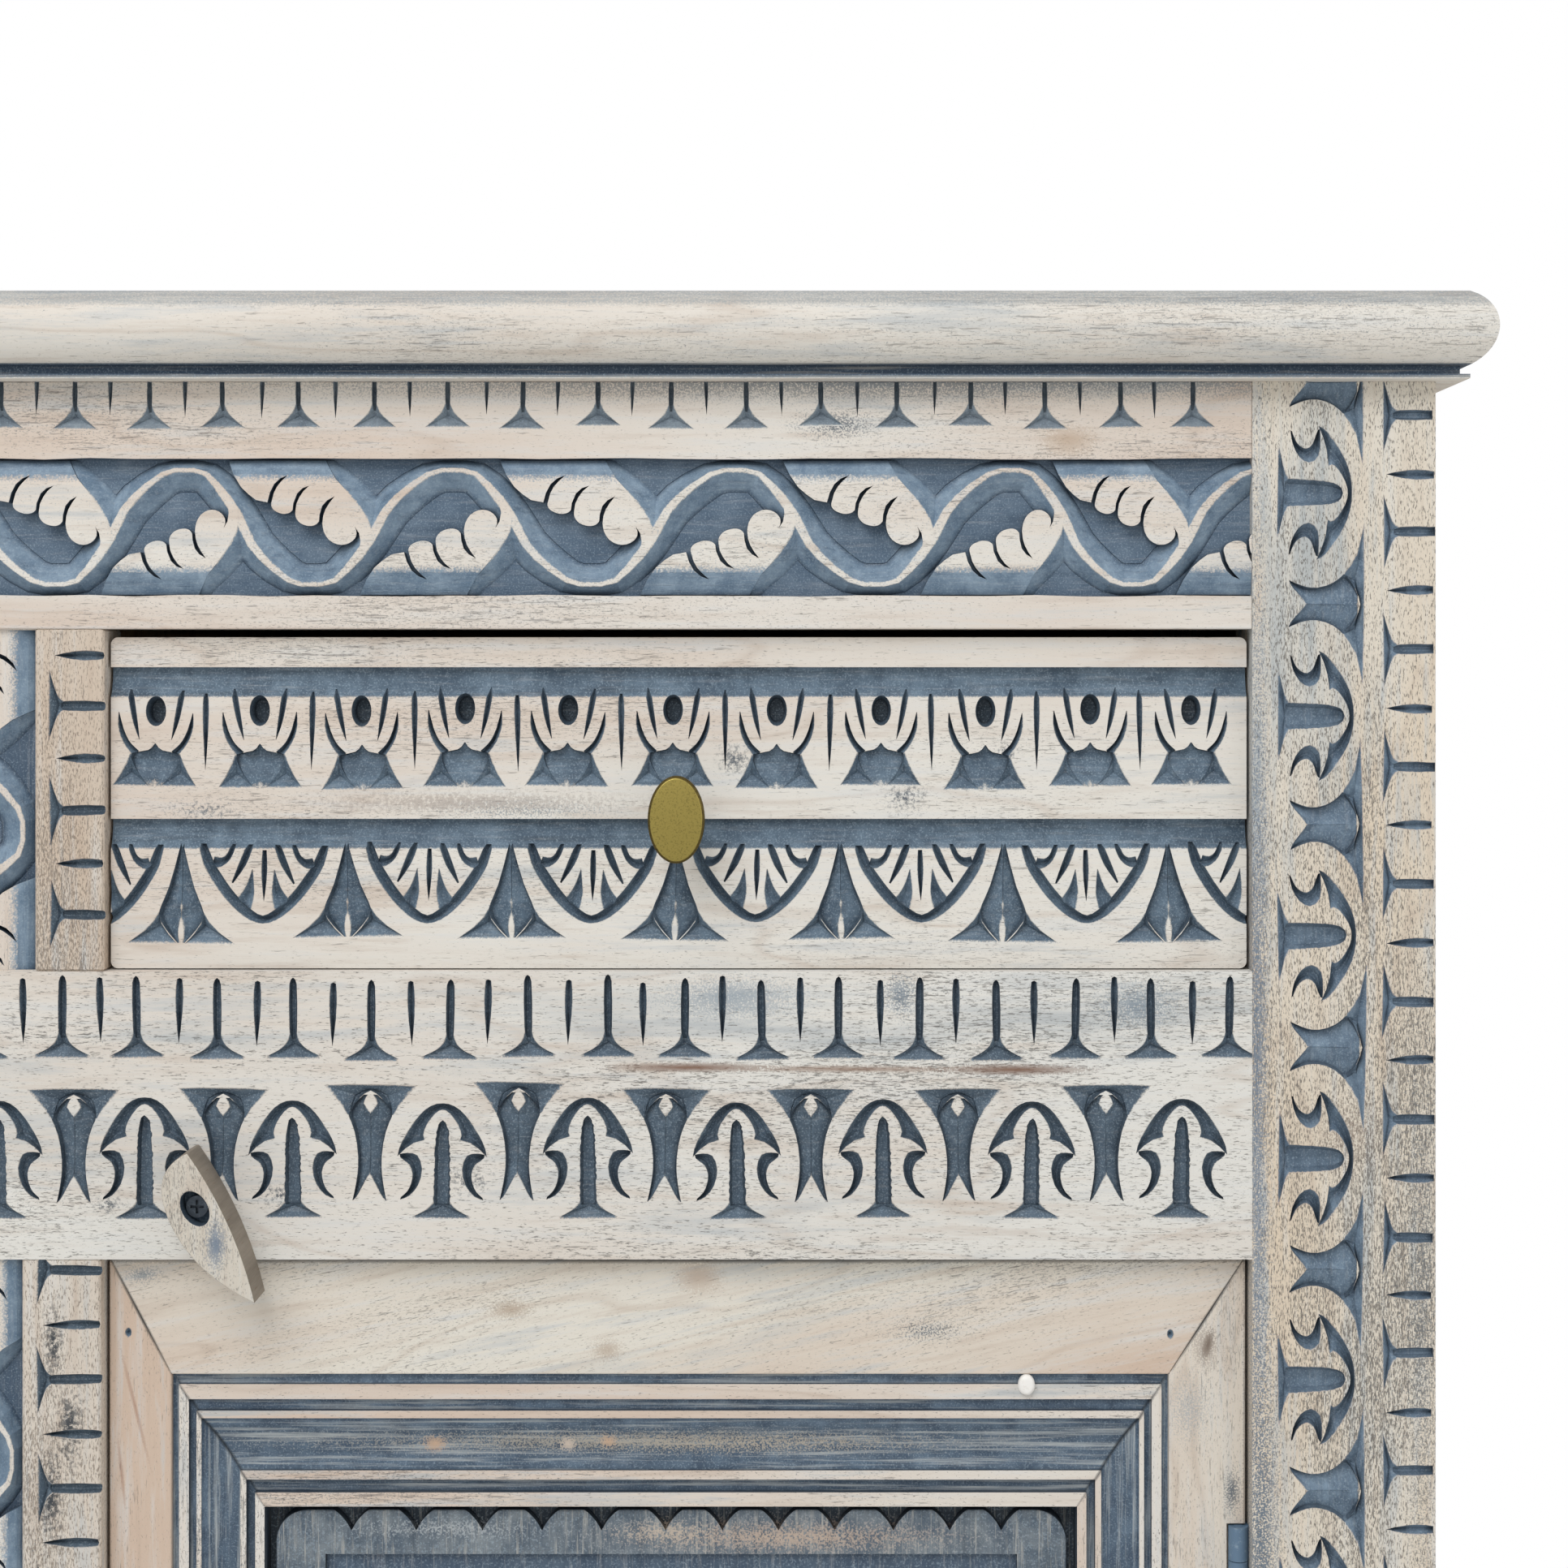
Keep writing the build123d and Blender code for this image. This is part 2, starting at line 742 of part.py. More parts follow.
door_edges = {
    "door_top_rail": "top",
    "door_bottom_rail": "bottom",
    "door_lock_stile": "lock",
    "door_hinge_stile": "hinge",
}
for name, edge in door_edges.items():
    with BuildPart() as member:
        mitred_board(
            mitred_outline(door_x, door_z, frame_inner_x, frame_inner_z, edge),
            door_face_y,
            door_thickness,
        )
        if edge == "hinge":
            for bottom in hinge_centres:
                span = grown((bottom, bottom + hinge_height), hinge_notch_margin)
                block(
                    (axis_x - notch_reach, door_x[1]),
                    (door_face_y, axis_y + notch_reach),
                    span,
                    mode=Mode.SUBTRACT,
                )
                block(
                    (door_x[1] - leaf_thickness - joint_clearance, door_x[1]),
                    (door_face_y, leaf_y[1] + joint_clearance),
                    span,
                    mode=Mode.SUBTRACT,
                )
                with BuildSketch(leaf_face(door_x[1], 1)):
                    with Locations(*leaf_screw_spots(bottom, 1)):
                        Circle(leaf_screw_radius + screw_clearance)
                extrude(amount=-leaf_screw_length - leaf_screw_margin, mode=Mode.SUBTRACT)
    write_pair(member, name)

moulding_planes = {
    "top": Plane(
        origin=(frame_inner_x[0], door_face_y, frame_inner_z[1]), x_dir=(0, 0, -1), z_dir=(1, 0, 0)
    ),
    "bottom": Plane(
        origin=(frame_inner_x[1], door_face_y, frame_inner_z[0]), x_dir=(0, 0, 1), z_dir=(-1, 0, 0)
    ),
    "lock": Plane(
        origin=(frame_inner_x[0], door_face_y, frame_inner_z[0]), x_dir=(1, 0, 0), z_dir=(0, 0, 1)
    ),
    "hinge": Plane(
        origin=(frame_inner_x[1], door_face_y, frame_inner_z[1]), x_dir=(-1, 0, 0), z_dir=(0, 0, -1)
    ),
}


def moulding_profile(plane, width):
    """The moulding's section: three quirks, two beads, a cove that steps down, and a flat strip."""
    back = door_panel_ground
    front = moulding_front
    middle = (cove_outer_depth + cove_inner_depth) / 2 + cove_sagitta
    with BuildSketch(plane) as profile:
        with BuildLine():
            Polyline(
                (width * cove_span[0], cove_outer_depth),
                (width * cove_span[0], front),
                (width * groove_2[1], front),
                (width * groove_2[1], second_groove_depth),
                (width * groove_2[0], second_groove_depth),
                (width * groove_2[0], front),
                (width * groove_1[1], front),
                (width * groove_1[1], first_groove_depth),
                (width * groove_1[0], first_groove_depth),
                (width * groove_1[0], back),
                (width, back),
                (width, inner_strip_depth),
                (width * groove_3[1], inner_strip_depth),
                (width * groove_3[1], third_groove_depth),
                (width * groove_3[0], third_groove_depth),
                (width * groove_3[0], inner_bead_depth),
                (width * cove_span[1], inner_bead_depth),
                (width * cove_span[1], cove_inner_depth),
            )
            ThreePointArc(
                (width * cove_span[1], cove_inner_depth),
                (width * (cove_span[0] + cove_span[1]) / 2, middle),
                (width * cove_span[0], cove_outer_depth),
            )
        make_face()
    return profile.sketch


def moulding_strip(edge):
    """One mitred length of the moulding, made apart from any piece."""
    lengthwise = edge in ("top", "bottom")
    width = moulding_rail_width if lengthwise else moulding_stile_width
    span = frame_inner_x if lengthwise else frame_inner_z
    with BuildPart() as strip:
        extrude(moulding_profile(moulding_planes[edge], width), amount=span[1] - span[0])
        mitred_board(
            mitred_outline(frame_inner_x, frame_inner_z, moulding_inner_x, moulding_inner_z, edge),
            door_face_y,
            door_panel_ground,
            mode=Mode.INTERSECT,
        )
    return strip.part


moulding_strips = [moulding_strip(edge) for edge in door_edges.values()]
with BuildPart() as door_moulding:
    add(moulding_strips)
write_pair(door_moulding, "door_moulding")

panel_face_y = door_face_y + door_panel_ground
field_x = (moulding_inner_x[0] + door_panel_margin_side, moulding_inner_x[1] - door_panel_margin_side)
field_z = (moulding_inner_z[0] + door_panel_margin_end, moulding_inner_z[1] - door_panel_margin_end)
with BuildPart() as door_panel:
    block(
        grown(frame_inner_x, -joint_clearance),
        (panel_face_y, panel_face_y + door_panel_backing),
        grown(frame_inner_z, -joint_clearance),
    )
    with BuildSketch(front_plane(panel_face_y)):
        with Locations(((field_x[0] + field_x[1]) / 2, (field_z[0] + field_z[1]) / 2)):
            RectangleRounded(
                field_x[1] - field_x[0], field_z[1] - field_z[0], door_panel_corner_radius
            )
    extrude(amount=door_panel_relief)
write_pair(door_panel, "door_panel")

# white protective dot, pressed on the first bead of the right door's top moulding
dot_x = door_x[1] - dot_from_hinge_edge
dot_z = door_z[1] - dot_below_top
with BuildPart() as door_bumper:
    with BuildSketch(front_plane(door_face_y + moulding_front)):
        with Locations((dot_x, dot_z)):
            Ellipse(dot_width / 2, dot_height / 2)
    extrude(amount=dot_thickness)
    fillet(door_bumper.faces().sort_by(Axis.Y)[0].edges(), dot_round)
write(door_bumper, "door_bumper")


# ---------------------------------------------------------------- butt hinges
def knuckle(bottom, index):
    """One hollow knuckle of a barrel, with a small gap at each end."""
    low = bottom + index * knuckle_pitch + knuckle_gap / 2
    with BuildSketch(Plane.XY.offset(low)) as ring:
        with Locations((axis_x, axis_y)):
            Circle(barrel_radius)
            Circle(pin_radius + pin_clearance, mode=Mode.SUBTRACT)
    extrude(ring.sketch, amount=knuckle_pitch - knuckle_gap)


def pin_hole(bottom):
    """Clears the pin's way through a leaf."""
    with BuildSketch(Plane.XY.offset(bottom)) as hole:
        with Locations((axis_x, axis_y)):
            Circle(pin_radius + pin_clearance)
    extrude(hole.sketch, amount=hinge_height, mode=Mode.SUBTRACT)


def leaf_screws(bottom, x, outward, head_reach):
    """Countersunk screws of one leaf, pointing along +X or -X."""
    plane = leaf_face(x, outward)
    spots = leaf_screw_spots(bottom, outward)
    with BuildSketch(plane) as shanks:
        with Locations(*spots):
            Circle(leaf_screw_radius)
    extrude(shanks.sketch, amount=-leaf_screw_length)
    with BuildSketch(plane) as heads:
        with Locations(*spots):
            Circle(leaf_screw_head_radius)
    extrude(heads.sketch, amount=-head_reach)


def leaf_holes(bottom, x, outward, depth):
    """Clears the screws' way through a leaf and lets their heads in."""
    plane = leaf_face(x, outward)
    spots = leaf_screw_spots(bottom, outward)
    with BuildSketch(plane) as shanks:
        with Locations(*spots):
            Circle(leaf_screw_radius + screw_clearance)
    extrude(shanks.sketch, amount=-depth, mode=Mode.SUBTRACT)
    with BuildSketch(plane) as heads:
        with Locations(*spots):
            Circle(leaf_screw_head_radius + screw_clearance)
    extrude(heads.sketch, amount=-depth / 2 - screw_clearance, mode=Mode.SUBTRACT)


with BuildPart() as door_leaves:
    for bottom in hinge_centres:
        levels = (bottom + knuckle_gap, bottom + hinge_height - knuckle_gap)
        block((door_x[1] - leaf_thickness, door_x[1]), (axis_y + notch_reach, leaf_y[1]), levels)
        for index in range(1, knuckle_count, 2):
            low = bottom + index * knuckle_pitch + knuckle_gap / 2
            block(
                (door_x[1] - leaf_thickness, door_x[1]),
                (axis_y, axis_y + notch_reach),
                (low, low + knuckle_pitch - knuckle_gap),
            )
            knuckle(bottom, index)
        pin_hole(bottom)
        leaf_holes(bottom, door_x[1], 1, leaf_thickness)

with BuildPart() as door_leaf_screws:
    for bottom in hinge_centres:
        leaf_screws(bottom, door_x[1], 1, leaf_thickness / 2)

with BuildPart() as door_hinge_leaves:
    add(door_leaves.part)
    add(door_leaf_screws.part)
write_pair(door_hinge_leaves, "door_hinge_leaves")

post_leaf_x = (post_inner_x, post_inner_x + leaf_thickness)
with BuildPart() as post_leaves:
    for bottom in hinge_centres:
        levels = (bottom + knuckle_gap, bottom + hinge_height - knuckle_gap)
        block(post_leaf_x, leaf_y, levels)
        for index in range(0, knuckle_count, 2):
            low = bottom + index * knuckle_pitch + knuckle_gap / 2
            block(
                (axis_x + barrel_radius - web_lap, post_leaf_x[1]),
                (axis_y, leaf_y[0] + web_lap),
                (low, low + knuckle_pitch - knuckle_gap),
            )
            knuckle(bottom, index)
        pin_hole(bottom)
        leaf_holes(bottom, post_inner_x, -1, leaf_thickness)

with BuildPart() as post_leaf_screws:
    for bottom in hinge_centres:
        leaf_screws(bottom, post_inner_x, -1, leaf_thickness / 2)

with BuildPart() as post_hinge_leaves:
    add(post_leaves.part)
    add(post_leaf_screws.part)
    mirror(about=Plane.YZ)
write(post_hinge_leaves, "post_hinge_leaves")

with BuildPart() as hinge_pins:
    for bottom in hinge_centres:
        with BuildSketch(Plane.XY.offset(bottom)):
            with Locations((axis_x, axis_y), (-axis_x, axis_y)):
                Circle(pin_radius)
        extrude(amount=hinge_height)
write(hinge_pins, "hinge_pins")

# the front posts take the post leaves in shallow mortises
with BuildPart() as hinged_post:
    add(front_post.part)
    for bottom in hinge_centres:
        block(
            (post_inner_x, post_leaf_x[1] + joint_clearance),
            (axis_y - joint_clearance, leaf_y[1] + joint_clearance),
            (bottom, bottom + hinge_height),
            mode=Mode.SUBTRACT,
        )
        with BuildSketch(leaf_face(post_inner_x, -1)):
            with Locations(*leaf_screw_spots(bottom, -1)):
                Circle(leaf_screw_radius + screw_clearance)
        extrude(amount=-leaf_screw_length - leaf_screw_margin, mode=Mode.SUBTRACT)
write_pair(hinged_post, "front_post")

# ---------------------------------------------------------------- turn buttons
button_plane = Plane(
    origin=(button_x, front_y, button_z),
    x_dir=(cos(radians(button_tilt)), 0, sin(radians(button_tilt))),
    z_dir=(0, -1, 0),
)
with BuildPart() as turn_button:
    with BuildSketch(button_plane):
        with BuildLine():
            Spline(button_corner, button_shoulder, button_belly, button_flank, button_tip)
            ThreePointArc(button_tip, button_straight_side, button_corner)
        make_face()
    extrude(amount=button_thickness)
    with BuildSketch(button_plane.offset(button_thickness)):
        Ellipse(button_recess_width / 2, button_recess_length / 2)
    extrude(amount=-button_recess_depth, mode=Mode.SUBTRACT)
    with BuildSketch(button_plane):
        Circle(button_screw_radius + screw_clearance)
    extrude(amount=button_thickness, mode=Mode.SUBTRACT)
write_pair(turn_button, "turn_button")

head_back_y = front_y - button_thickness + button_recess_depth
with BuildPart() as turn_button_screws:
    for sign in (-1, 1):
        with BuildSketch(front_plane(head_back_y - screw_clearance)):
            with Locations((sign * button_x, button_z)):
                Circle(button_screw_head_radius)
        extrude(amount=button_screw_head_thickness)
        with BuildSketch(front_plane(front_y + button_screw_length)):
            with Locations((sign * button_x, button_z)):
                Circle(button_screw_radius)
        extrude(amount=front_y + button_screw_length - head_back_y + screw_clearance)
        with BuildSketch(front_plane(head_back_y - screw_clearance - button_screw_head_thickness)):
            with Locations((sign * button_x, button_z)):
                Rectangle(cross_slot_length, cross_slot_width)
                Rectangle(cross_slot_width, cross_slot_length)
        extrude(amount=-cross_slot_depth, mode=Mode.SUBTRACT)
write(turn_button_screws, "turn_button_screws")
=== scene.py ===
"""Dresses the carved mango-wood cabinet: the carving of each board, its washes, and its hardware.

Lengths are millimetres in the part's own frame (+Z up, the front faces -Y) and become metres where a
mesh is made. Carving is drawn on a board's face: u runs along X, v along Z, and depth goes into the wood.
"""

import json
import logging
import math
import random
from collections.abc import Callable, Iterable, Sequence
from dataclasses import dataclass, field, replace
from enum import Enum
from functools import partial

import bmesh
import bpy
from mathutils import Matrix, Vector


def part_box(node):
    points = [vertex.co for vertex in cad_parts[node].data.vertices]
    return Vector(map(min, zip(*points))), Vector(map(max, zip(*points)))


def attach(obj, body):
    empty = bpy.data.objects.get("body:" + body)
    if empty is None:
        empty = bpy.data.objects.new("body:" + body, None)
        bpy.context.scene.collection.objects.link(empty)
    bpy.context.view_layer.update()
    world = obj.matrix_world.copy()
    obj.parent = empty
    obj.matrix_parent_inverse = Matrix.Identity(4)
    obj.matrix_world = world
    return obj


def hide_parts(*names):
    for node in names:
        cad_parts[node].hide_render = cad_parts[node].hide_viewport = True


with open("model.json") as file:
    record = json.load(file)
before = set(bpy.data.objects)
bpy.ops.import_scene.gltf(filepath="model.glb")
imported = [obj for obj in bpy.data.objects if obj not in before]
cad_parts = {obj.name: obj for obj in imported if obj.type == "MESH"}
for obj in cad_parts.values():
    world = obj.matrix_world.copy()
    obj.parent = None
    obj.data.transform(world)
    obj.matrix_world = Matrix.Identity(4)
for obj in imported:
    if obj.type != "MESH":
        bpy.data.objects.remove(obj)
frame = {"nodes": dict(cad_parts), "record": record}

MM = 0.001
LIFT = 1.5  # how far a cutting shell stands out of the board

Pair = tuple[float, float]
Spot3 = tuple[float, float, float]
Tree = bpy.types.NodeTree
Source = bpy.types.Node | bpy.types.NodeSocket
log = logging.getLogger("cabinet")


class Grain(Enum):
    """The axis of the cabinet along which a board's fibres run."""

    X = 0
    Y = 1
    Z = 2


class Side(Enum):
    """The two bays. The value is the sign of X."""

    LEFT = -1
    RIGHT = 1

    @property
    def word(self) -> str:
        """The side's name as the nodes spell it."""
        return self.name.lower()


# ------------------------------------------------------------------ material nodes
def tone(code: str) -> tuple[float, float, float, float]:
    """Turns an sRGB hex colour to linear.

    Args:
        code: The colour as "#RRGGBB".

    Returns:
        Linear red, green and blue, and an alpha of 1.
    """
    parts = [int(code[i : i + 2], 16) / 255 for i in (1, 3, 5)]
    linear = [c / 12.92 if c <= 0.04045 else ((c + 0.055) / 1.055) ** 2.4 for c in parts]
    return (linear[0], linear[1], linear[2], 1.0)


def node(tree: Tree, kind: str, inputs: dict | Sequence = (), **settings: object) -> bpy.types.Node:
    """Adds one node, sets its properties, and fills or links its inputs.

    Args:
        tree: The material's node tree.
        kind: The node's type, without its ShaderNode prefix.
        inputs: A value, a node or an output socket for each input, in the inputs' order or by name.
        settings: Properties of the node itself.

    Returns:
        The new node.
    """
    made = tree.nodes.new("ShaderNode" + kind)
    for name, value in settings.items():
        setattr(made, name, value)
    for key, value in inputs.items() if isinstance(inputs, dict) else enumerate(inputs):
        if isinstance(value, bpy.types.Node):
            value = value.outputs[0]
        if isinstance(value, bpy.types.NodeSocket):
            tree.links.new(value, made.inputs[key])
        else:
            made.inputs[key].default_value = value
    return made


def blank_material(name: str) -> tuple[bpy.types.Material, Tree, bpy.types.Node]:
    """Makes a material that holds only its output.

    Args:
        name: The material's name.

    Returns:
        The material, its node tree and the output node.
    """
    made = bpy.data.materials.new(name)
    made.use_nodes = True
    made.node_tree.nodes.clear()
    return made, made.node_tree, node(made.node_tree, "OutputMaterial")


def stretched(tree: Tree, place: Source, grain: Grain, length: float) -> bpy.types.Node:
    """Draws a pattern out along the grain.

    Args:
        tree: The material's node tree.
        place: The coordinates that the pattern would read.
        grain: The way of the fibres.
        length: How many times longer the pattern becomes.

    Returns:
        The coordinates that it reads instead.
    """
    scale = [1.0, 1.0, 1.0]
    scale[grain.value] = 1 / length
    return node(tree, "VectorMath", (place, scale), operation="MULTIPLY")


def spots(tree: Tree, value: Source, push: Source, start: float, gain: float, soft: float) -> bpy.types.Node:
    """A mask of the spots where a noise, helped by another value, is above a level.

    Args:
        tree: The material's node tree.
        value: The noise.
        push: What makes spots more frequent, from 0 to 1.
        start: The level above which a spot begins.
        gain: How far the push lowers that level.
        soft: The width of a spot's edge.

    Returns:
        The node that gives the mask.
    """
    helped = node(tree, "Math", (push, gain, value), operation="MULTIPLY_ADD")
    return node(tree, "MapRange", (helped, start, start + soft))


def layered(tree: Tree, colour: Source | Sequence[float], layers: Iterable[Sequence]) -> Source:
    """Lays tones over a colour, one after the other, each where its own pattern is strong.

    Args:
        tree: The material's node tree.
        colour: The colour below.
        layers: For each tone its pattern, the value where it begins and where it is full, the most that
            it covers, and the tone as "#RRGGBB".

    Returns:
        The colour with the tones on it.
    """
    for pattern, begins, full, most, code in layers:
        share = node(tree, "MapRange", (pattern, begins, full, 0.0, most))
        colour = node(tree, "MixRGB", (share, colour, tone(code)))
    return colour


@dataclass(frozen=True)
class Stain:
    """A local mark on a board: a soft oval where another tone shows through in specks.

    Most are dirt and wear; those along the door's gaps are painted shadow. A reach of 0 along Y lets it go
    through the whole board. A blotched mark breaks into coarse blots.
    """

    x: float
    z: float
    reach_x: float
    reach_z: float
    colour: str
    strength: float = 0.6
    specks: float = 1.0
    lean: float = 0.0
    blotched: bool = False
    y: float = 0.0
    reach_y: float = 0.0

    def lay(self, tree: Tree, place: Source, specks: Source, colour: Source) -> bpy.types.Node:
        """Lays the mark over a colour.

        Args:
            tree: The material's node tree.
            place: The object's own coordinates.
            specks: The noise that breaks the stain up.
            colour: The colour below.

        Returns:
            The colour with the mark on it.
        """
        if self.lean:
            centre = (MM * self.x, 0.0, MM * self.z)
            turn = {"Vector": place, "Center": centre, "Angle": math.radians(self.lean)}
            place = node(tree, "VectorRotate", turn, rotation_type="Y_AXIS")
        scale = [1 / reach if reach else 0.0 for reach in (self.reach_x, self.reach_y, self.reach_z)]
        centred = [-at * factor for at, factor in zip((self.x, self.y, self.z), scale)]
        moved = {"Vector": place, "Location": centred, "Scale": [factor / MM for factor in scale]}
        reach = node(tree, "VectorMath", (node(tree, "Mapping", moved),), operation="LENGTH").outputs["Value"]
        middle = node(tree, "MapRange", (reach, 1.0, 0.1))
        marked = spots(tree, specks, middle, 0.62, 0.3 * self.specks, 0.14)
        share = node(tree, "Math", (marked, middle), operation="MULTIPLY")
        return layered(tree, colour, [(share, 0.0, 1.0, self.strength, self.colour)])


# ------------------------------------------------------------------ finishes
# A noise's scale is its features to the metre: 1000 over the size of one feature in millimetres.
WOOD_IOR = 1.45
FIGURE = 15.0  # 67 mm: the plank's broad figure and its growth rings
HAZE = 21.0  # 48 mm: thick and thin places of the whitewash
RUBBED = 26.0  # 38 mm: where the whitewash was rubbed through
STREAKS = 190.0  # 5 mm: bundles of fibres
FLECKS = 2300.0  # 0.4 mm: short dashes where the wash missed the wood
PORES = 1250.0  # 0.8 mm: mango's open pores, drawn wider than they are so that they show
SPECKS = 1500.0  # 0.7 mm: dust of blue pigment
BLOTS = 620.0  # 1.6 mm: the blots of a coarse stain
MOTTLE = 90.0  # 11 mm: thick and thin places of the blue
BRUSH = 260.0  # 4 mm: the brush's own bands in the blue


class Wash(Enum):
    """What is left on a surface: the whitewash alone, or in the carving the blue below it."""

    WHITE = "white"
    CARVED = "carved"


@dataclass(frozen=True)
class WashedMango:
    """Planed mango wood under a rubbed whitewash: dry and matt, with pores that stay dark.

    In the carving the blue wash below was not rubbed off. There the colour follows the depth of the cut:
    whitewash at the face and blue below, with painted shade that darkens the blue as the cut deepens, in the
    corners and on steep walls.
    """

    name: str
    grain: Grain
    wash: Wash = Wash.WHITE
    cream: str = "#E0DCD4"
    beige: str = "#CDB8A7"
    chalk: str = "#D6D8D8"
    ring: str = "#B39E8C"
    pore: str = "#615D5A"
    fleck: str = "#6E6A66"
    speck: str = "#56646F"
    haze: str = "#A9AFB2"
    blue: str = "#4E6478"
    blue_pale: str = "#758C9F"
    # A dark blue for the brush's dark bands, and the tone of the painted shade that deepens with the cut.
    blue_deep: str = "#3A4A5A"
    grit: str = "#A3B5C2"
    # The tone of the painted shade in corners, in creases and on steep walls.
    crevice: str = "#1B2530"
    stroke_tone: str = "#D6D8D8"
    wear: float = 1.0
    hazed: Pair = (0.92, 1.12)
    flecks: float = 0.5
    fleck_length: float = 4.0
    coarse: float = 0.02
    slant: float = 0.0
    cover: Pair = (0.42, 0.85)
    # Painted shade: over this range of depth the blue darkens, by the share in the next field.
    deep: Pair = (1.8, 3.2)
    deepness: float = 0.4
    shade: float = 0.8
    mottle_length: float = 1.0
    brushed: float = 0.15
    strokes: Pair = (0.53, 0.7)
    stroke: float = 14.0
    stroke_scale: float = 760.0
    # Local marks: dirt and wear, and on the door painted shadow lines along its gaps.
    stains: tuple[Stain, ...] = ()

    def build(self) -> bpy.types.Material:
        """Makes the material.

        Returns:
            The finished material.
        """
        made, tree, output = blank_material(self.name)
        add = partial(node, tree)
        place = add("TexCoord").outputs["Object"]
        board = add("Attribute", attribute_name="board").outputs["Fac"]
        shifted = add("VectorMath", (place, board), operation="ADD")
        if self.slant:
            turn = {"Vector": shifted, "Angle": math.radians(self.slant)}
            shifted = add("VectorRotate", turn, rotation_type="Y_AXIS")
        along, patches, short = (
            stretched(tree, shifted, self.grain, length) for length in (14, 5, self.fleck_length)
        )
        streak = add("TexNoise", {"Vector": along, "Scale": STREAKS, "Detail": 5.0, "Roughness": 0.7})
        specks = add("TexNoise", {"Vector": place, "Scale": SPECKS, "Detail": 2.0})
        worn = add("TexNoise", {"Vector": patches, "Scale": RUBBED, "Detail": 3.0})
        worn = add("MapRange", (worn, 0.42, 0.66))
        hazy = add("TexNoise", {"Vector": patches, "Scale": HAZE, "Detail": 4.0, "Roughness": 0.6})
        hazy = add("Math", (streak, 0.7, hazy), operation="MULTIPLY_ADD")
        dashes = add("TexNoise", {"Vector": short, "Scale": FLECKS, "Detail": 2.0, "Roughness": 0.6})
        dashes = spots(tree, dashes, worn, 0.655 - self.coarse, 0.09, 0.1)
        pores = add("TexNoise", {"Vector": along, "Scale": PORES, "Detail": 2.0, "Roughness": 0.7})
        pores = spots(tree, pores, worn, 0.675, 0.1 * self.wear, 0.07)
        dust = spots(tree, specks, worn, 0.7, 0.09 * self.wear, 0.07)
        layers = (
            (hazy, *self.hazed, 0.65 * self.wear, self.haze),
            (dashes, 0.0, 1.0, self.flecks, self.fleck),
            (pores, 0.0, 1.0, 0.5, self.pore),
            (dust, 0.0, 1.0, 0.5, self.speck),
        )
        colour = layered(tree, self.timber(tree, patches, streak), layers)
        if self.wash is Wash.CARVED:
            colour = self.blued(tree, place, along, specks, colour)
        blots = add("TexNoise", {"Vector": place, "Scale": BLOTS, "Detail": 4.0, "Roughness": 0.75})
        for stain_or_shade in self.stains:
            colour = stain_or_shade.lay(tree, place, blots if stain_or_shade.blotched else specks, colour)

        height = add("Math", (dashes, -0.5, streak), operation="MULTIPLY_ADD")
        height = add("Math", (pores, -0.8, height), operation="MULTIPLY_ADD")
        bump = add("Bump", {"Height": height, "Strength": 0.4, "Distance": 0.4 * MM})
        rough = add("MapRange", (streak, 0.3, 0.7, 0.55, 0.78))
        surface = {"Base Color": colour, "Roughness": rough, "Normal": bump, "IOR": WOOD_IOR}
        tree.links.new(add("BsdfPrincipled", surface).outputs[0], output.inputs["Surface"])
        return made

    def timber(self, tree: Tree, patches: Source, streak: Source) -> Source:
        """The wood as it shows through the whitewash: cream to beige, with streaks and faint growth rings.

        Args:
            tree: The material's node tree.
            patches: The board's coordinates, drawn out for broad patches.
            streak: The noise of its fibres.

        Returns:
            The wood's colour.
        """
        warmth = node(tree, "Attribute", attribute_name="warmth").outputs["Fac"]
        broad = node(tree, "TexNoise", {"Vector": patches, "Scale": FIGURE, "Detail": 3.0})
        warm = node(tree, "Math", (warmth, 0.3, broad), operation="MULTIPLY_ADD")
        rings = node(tree, "Math", (broad, 11.0), operation="MULTIPLY")
        rings = node(tree, "Math", (rings, 1.0), operation="PINGPONG")
        layers = (
            (warm, 0.46, 0.78, 1.0, self.beige),
            (rings, 0.12, 0.0, 0.28, self.ring),
            (streak, 0.5, 0.72, 0.7, self.chalk),
            (streak, 0.46, 0.28, 0.4, self.ring),
        )
        return layered(tree, tone(self.cream), layers)

    def blued(self, tree: Tree, place: Source, along: Source, specks: Source, colour: Source) -> Source:
        """Lays the blue wash over the whitewash, by depth and by what the rubbing could reach.

        Args:
            tree: The material's node tree.
            place: The object's own coordinates.
            along: The board's coordinates, drawn out along its fibres.
            specks: The fine noise that breaks the edge between the washes.
            colour: The whitewashed wood.

        Returns:
            The colour with the blue on it, and painted shade: darker with depth, in the corners and on steep
            walls.
        """
        add = partial(node, tree)
        spread = stretched(tree, place, self.grain, self.mottle_length)
        mottle = add("TexNoise", {"Vector": spread, "Scale": MOTTLE, "Detail": 7.0, "Roughness": 0.72})
        dull = add("TexNoise", {"Vector": along, "Scale": BRUSH, "Detail": 4.0, "Roughness": 0.7})
        drawn = stretched(tree, place, self.grain, self.stroke)
        strokes = {"Vector": drawn, "Scale": self.stroke_scale, "Detail": 4.0, "Roughness": 0.75}
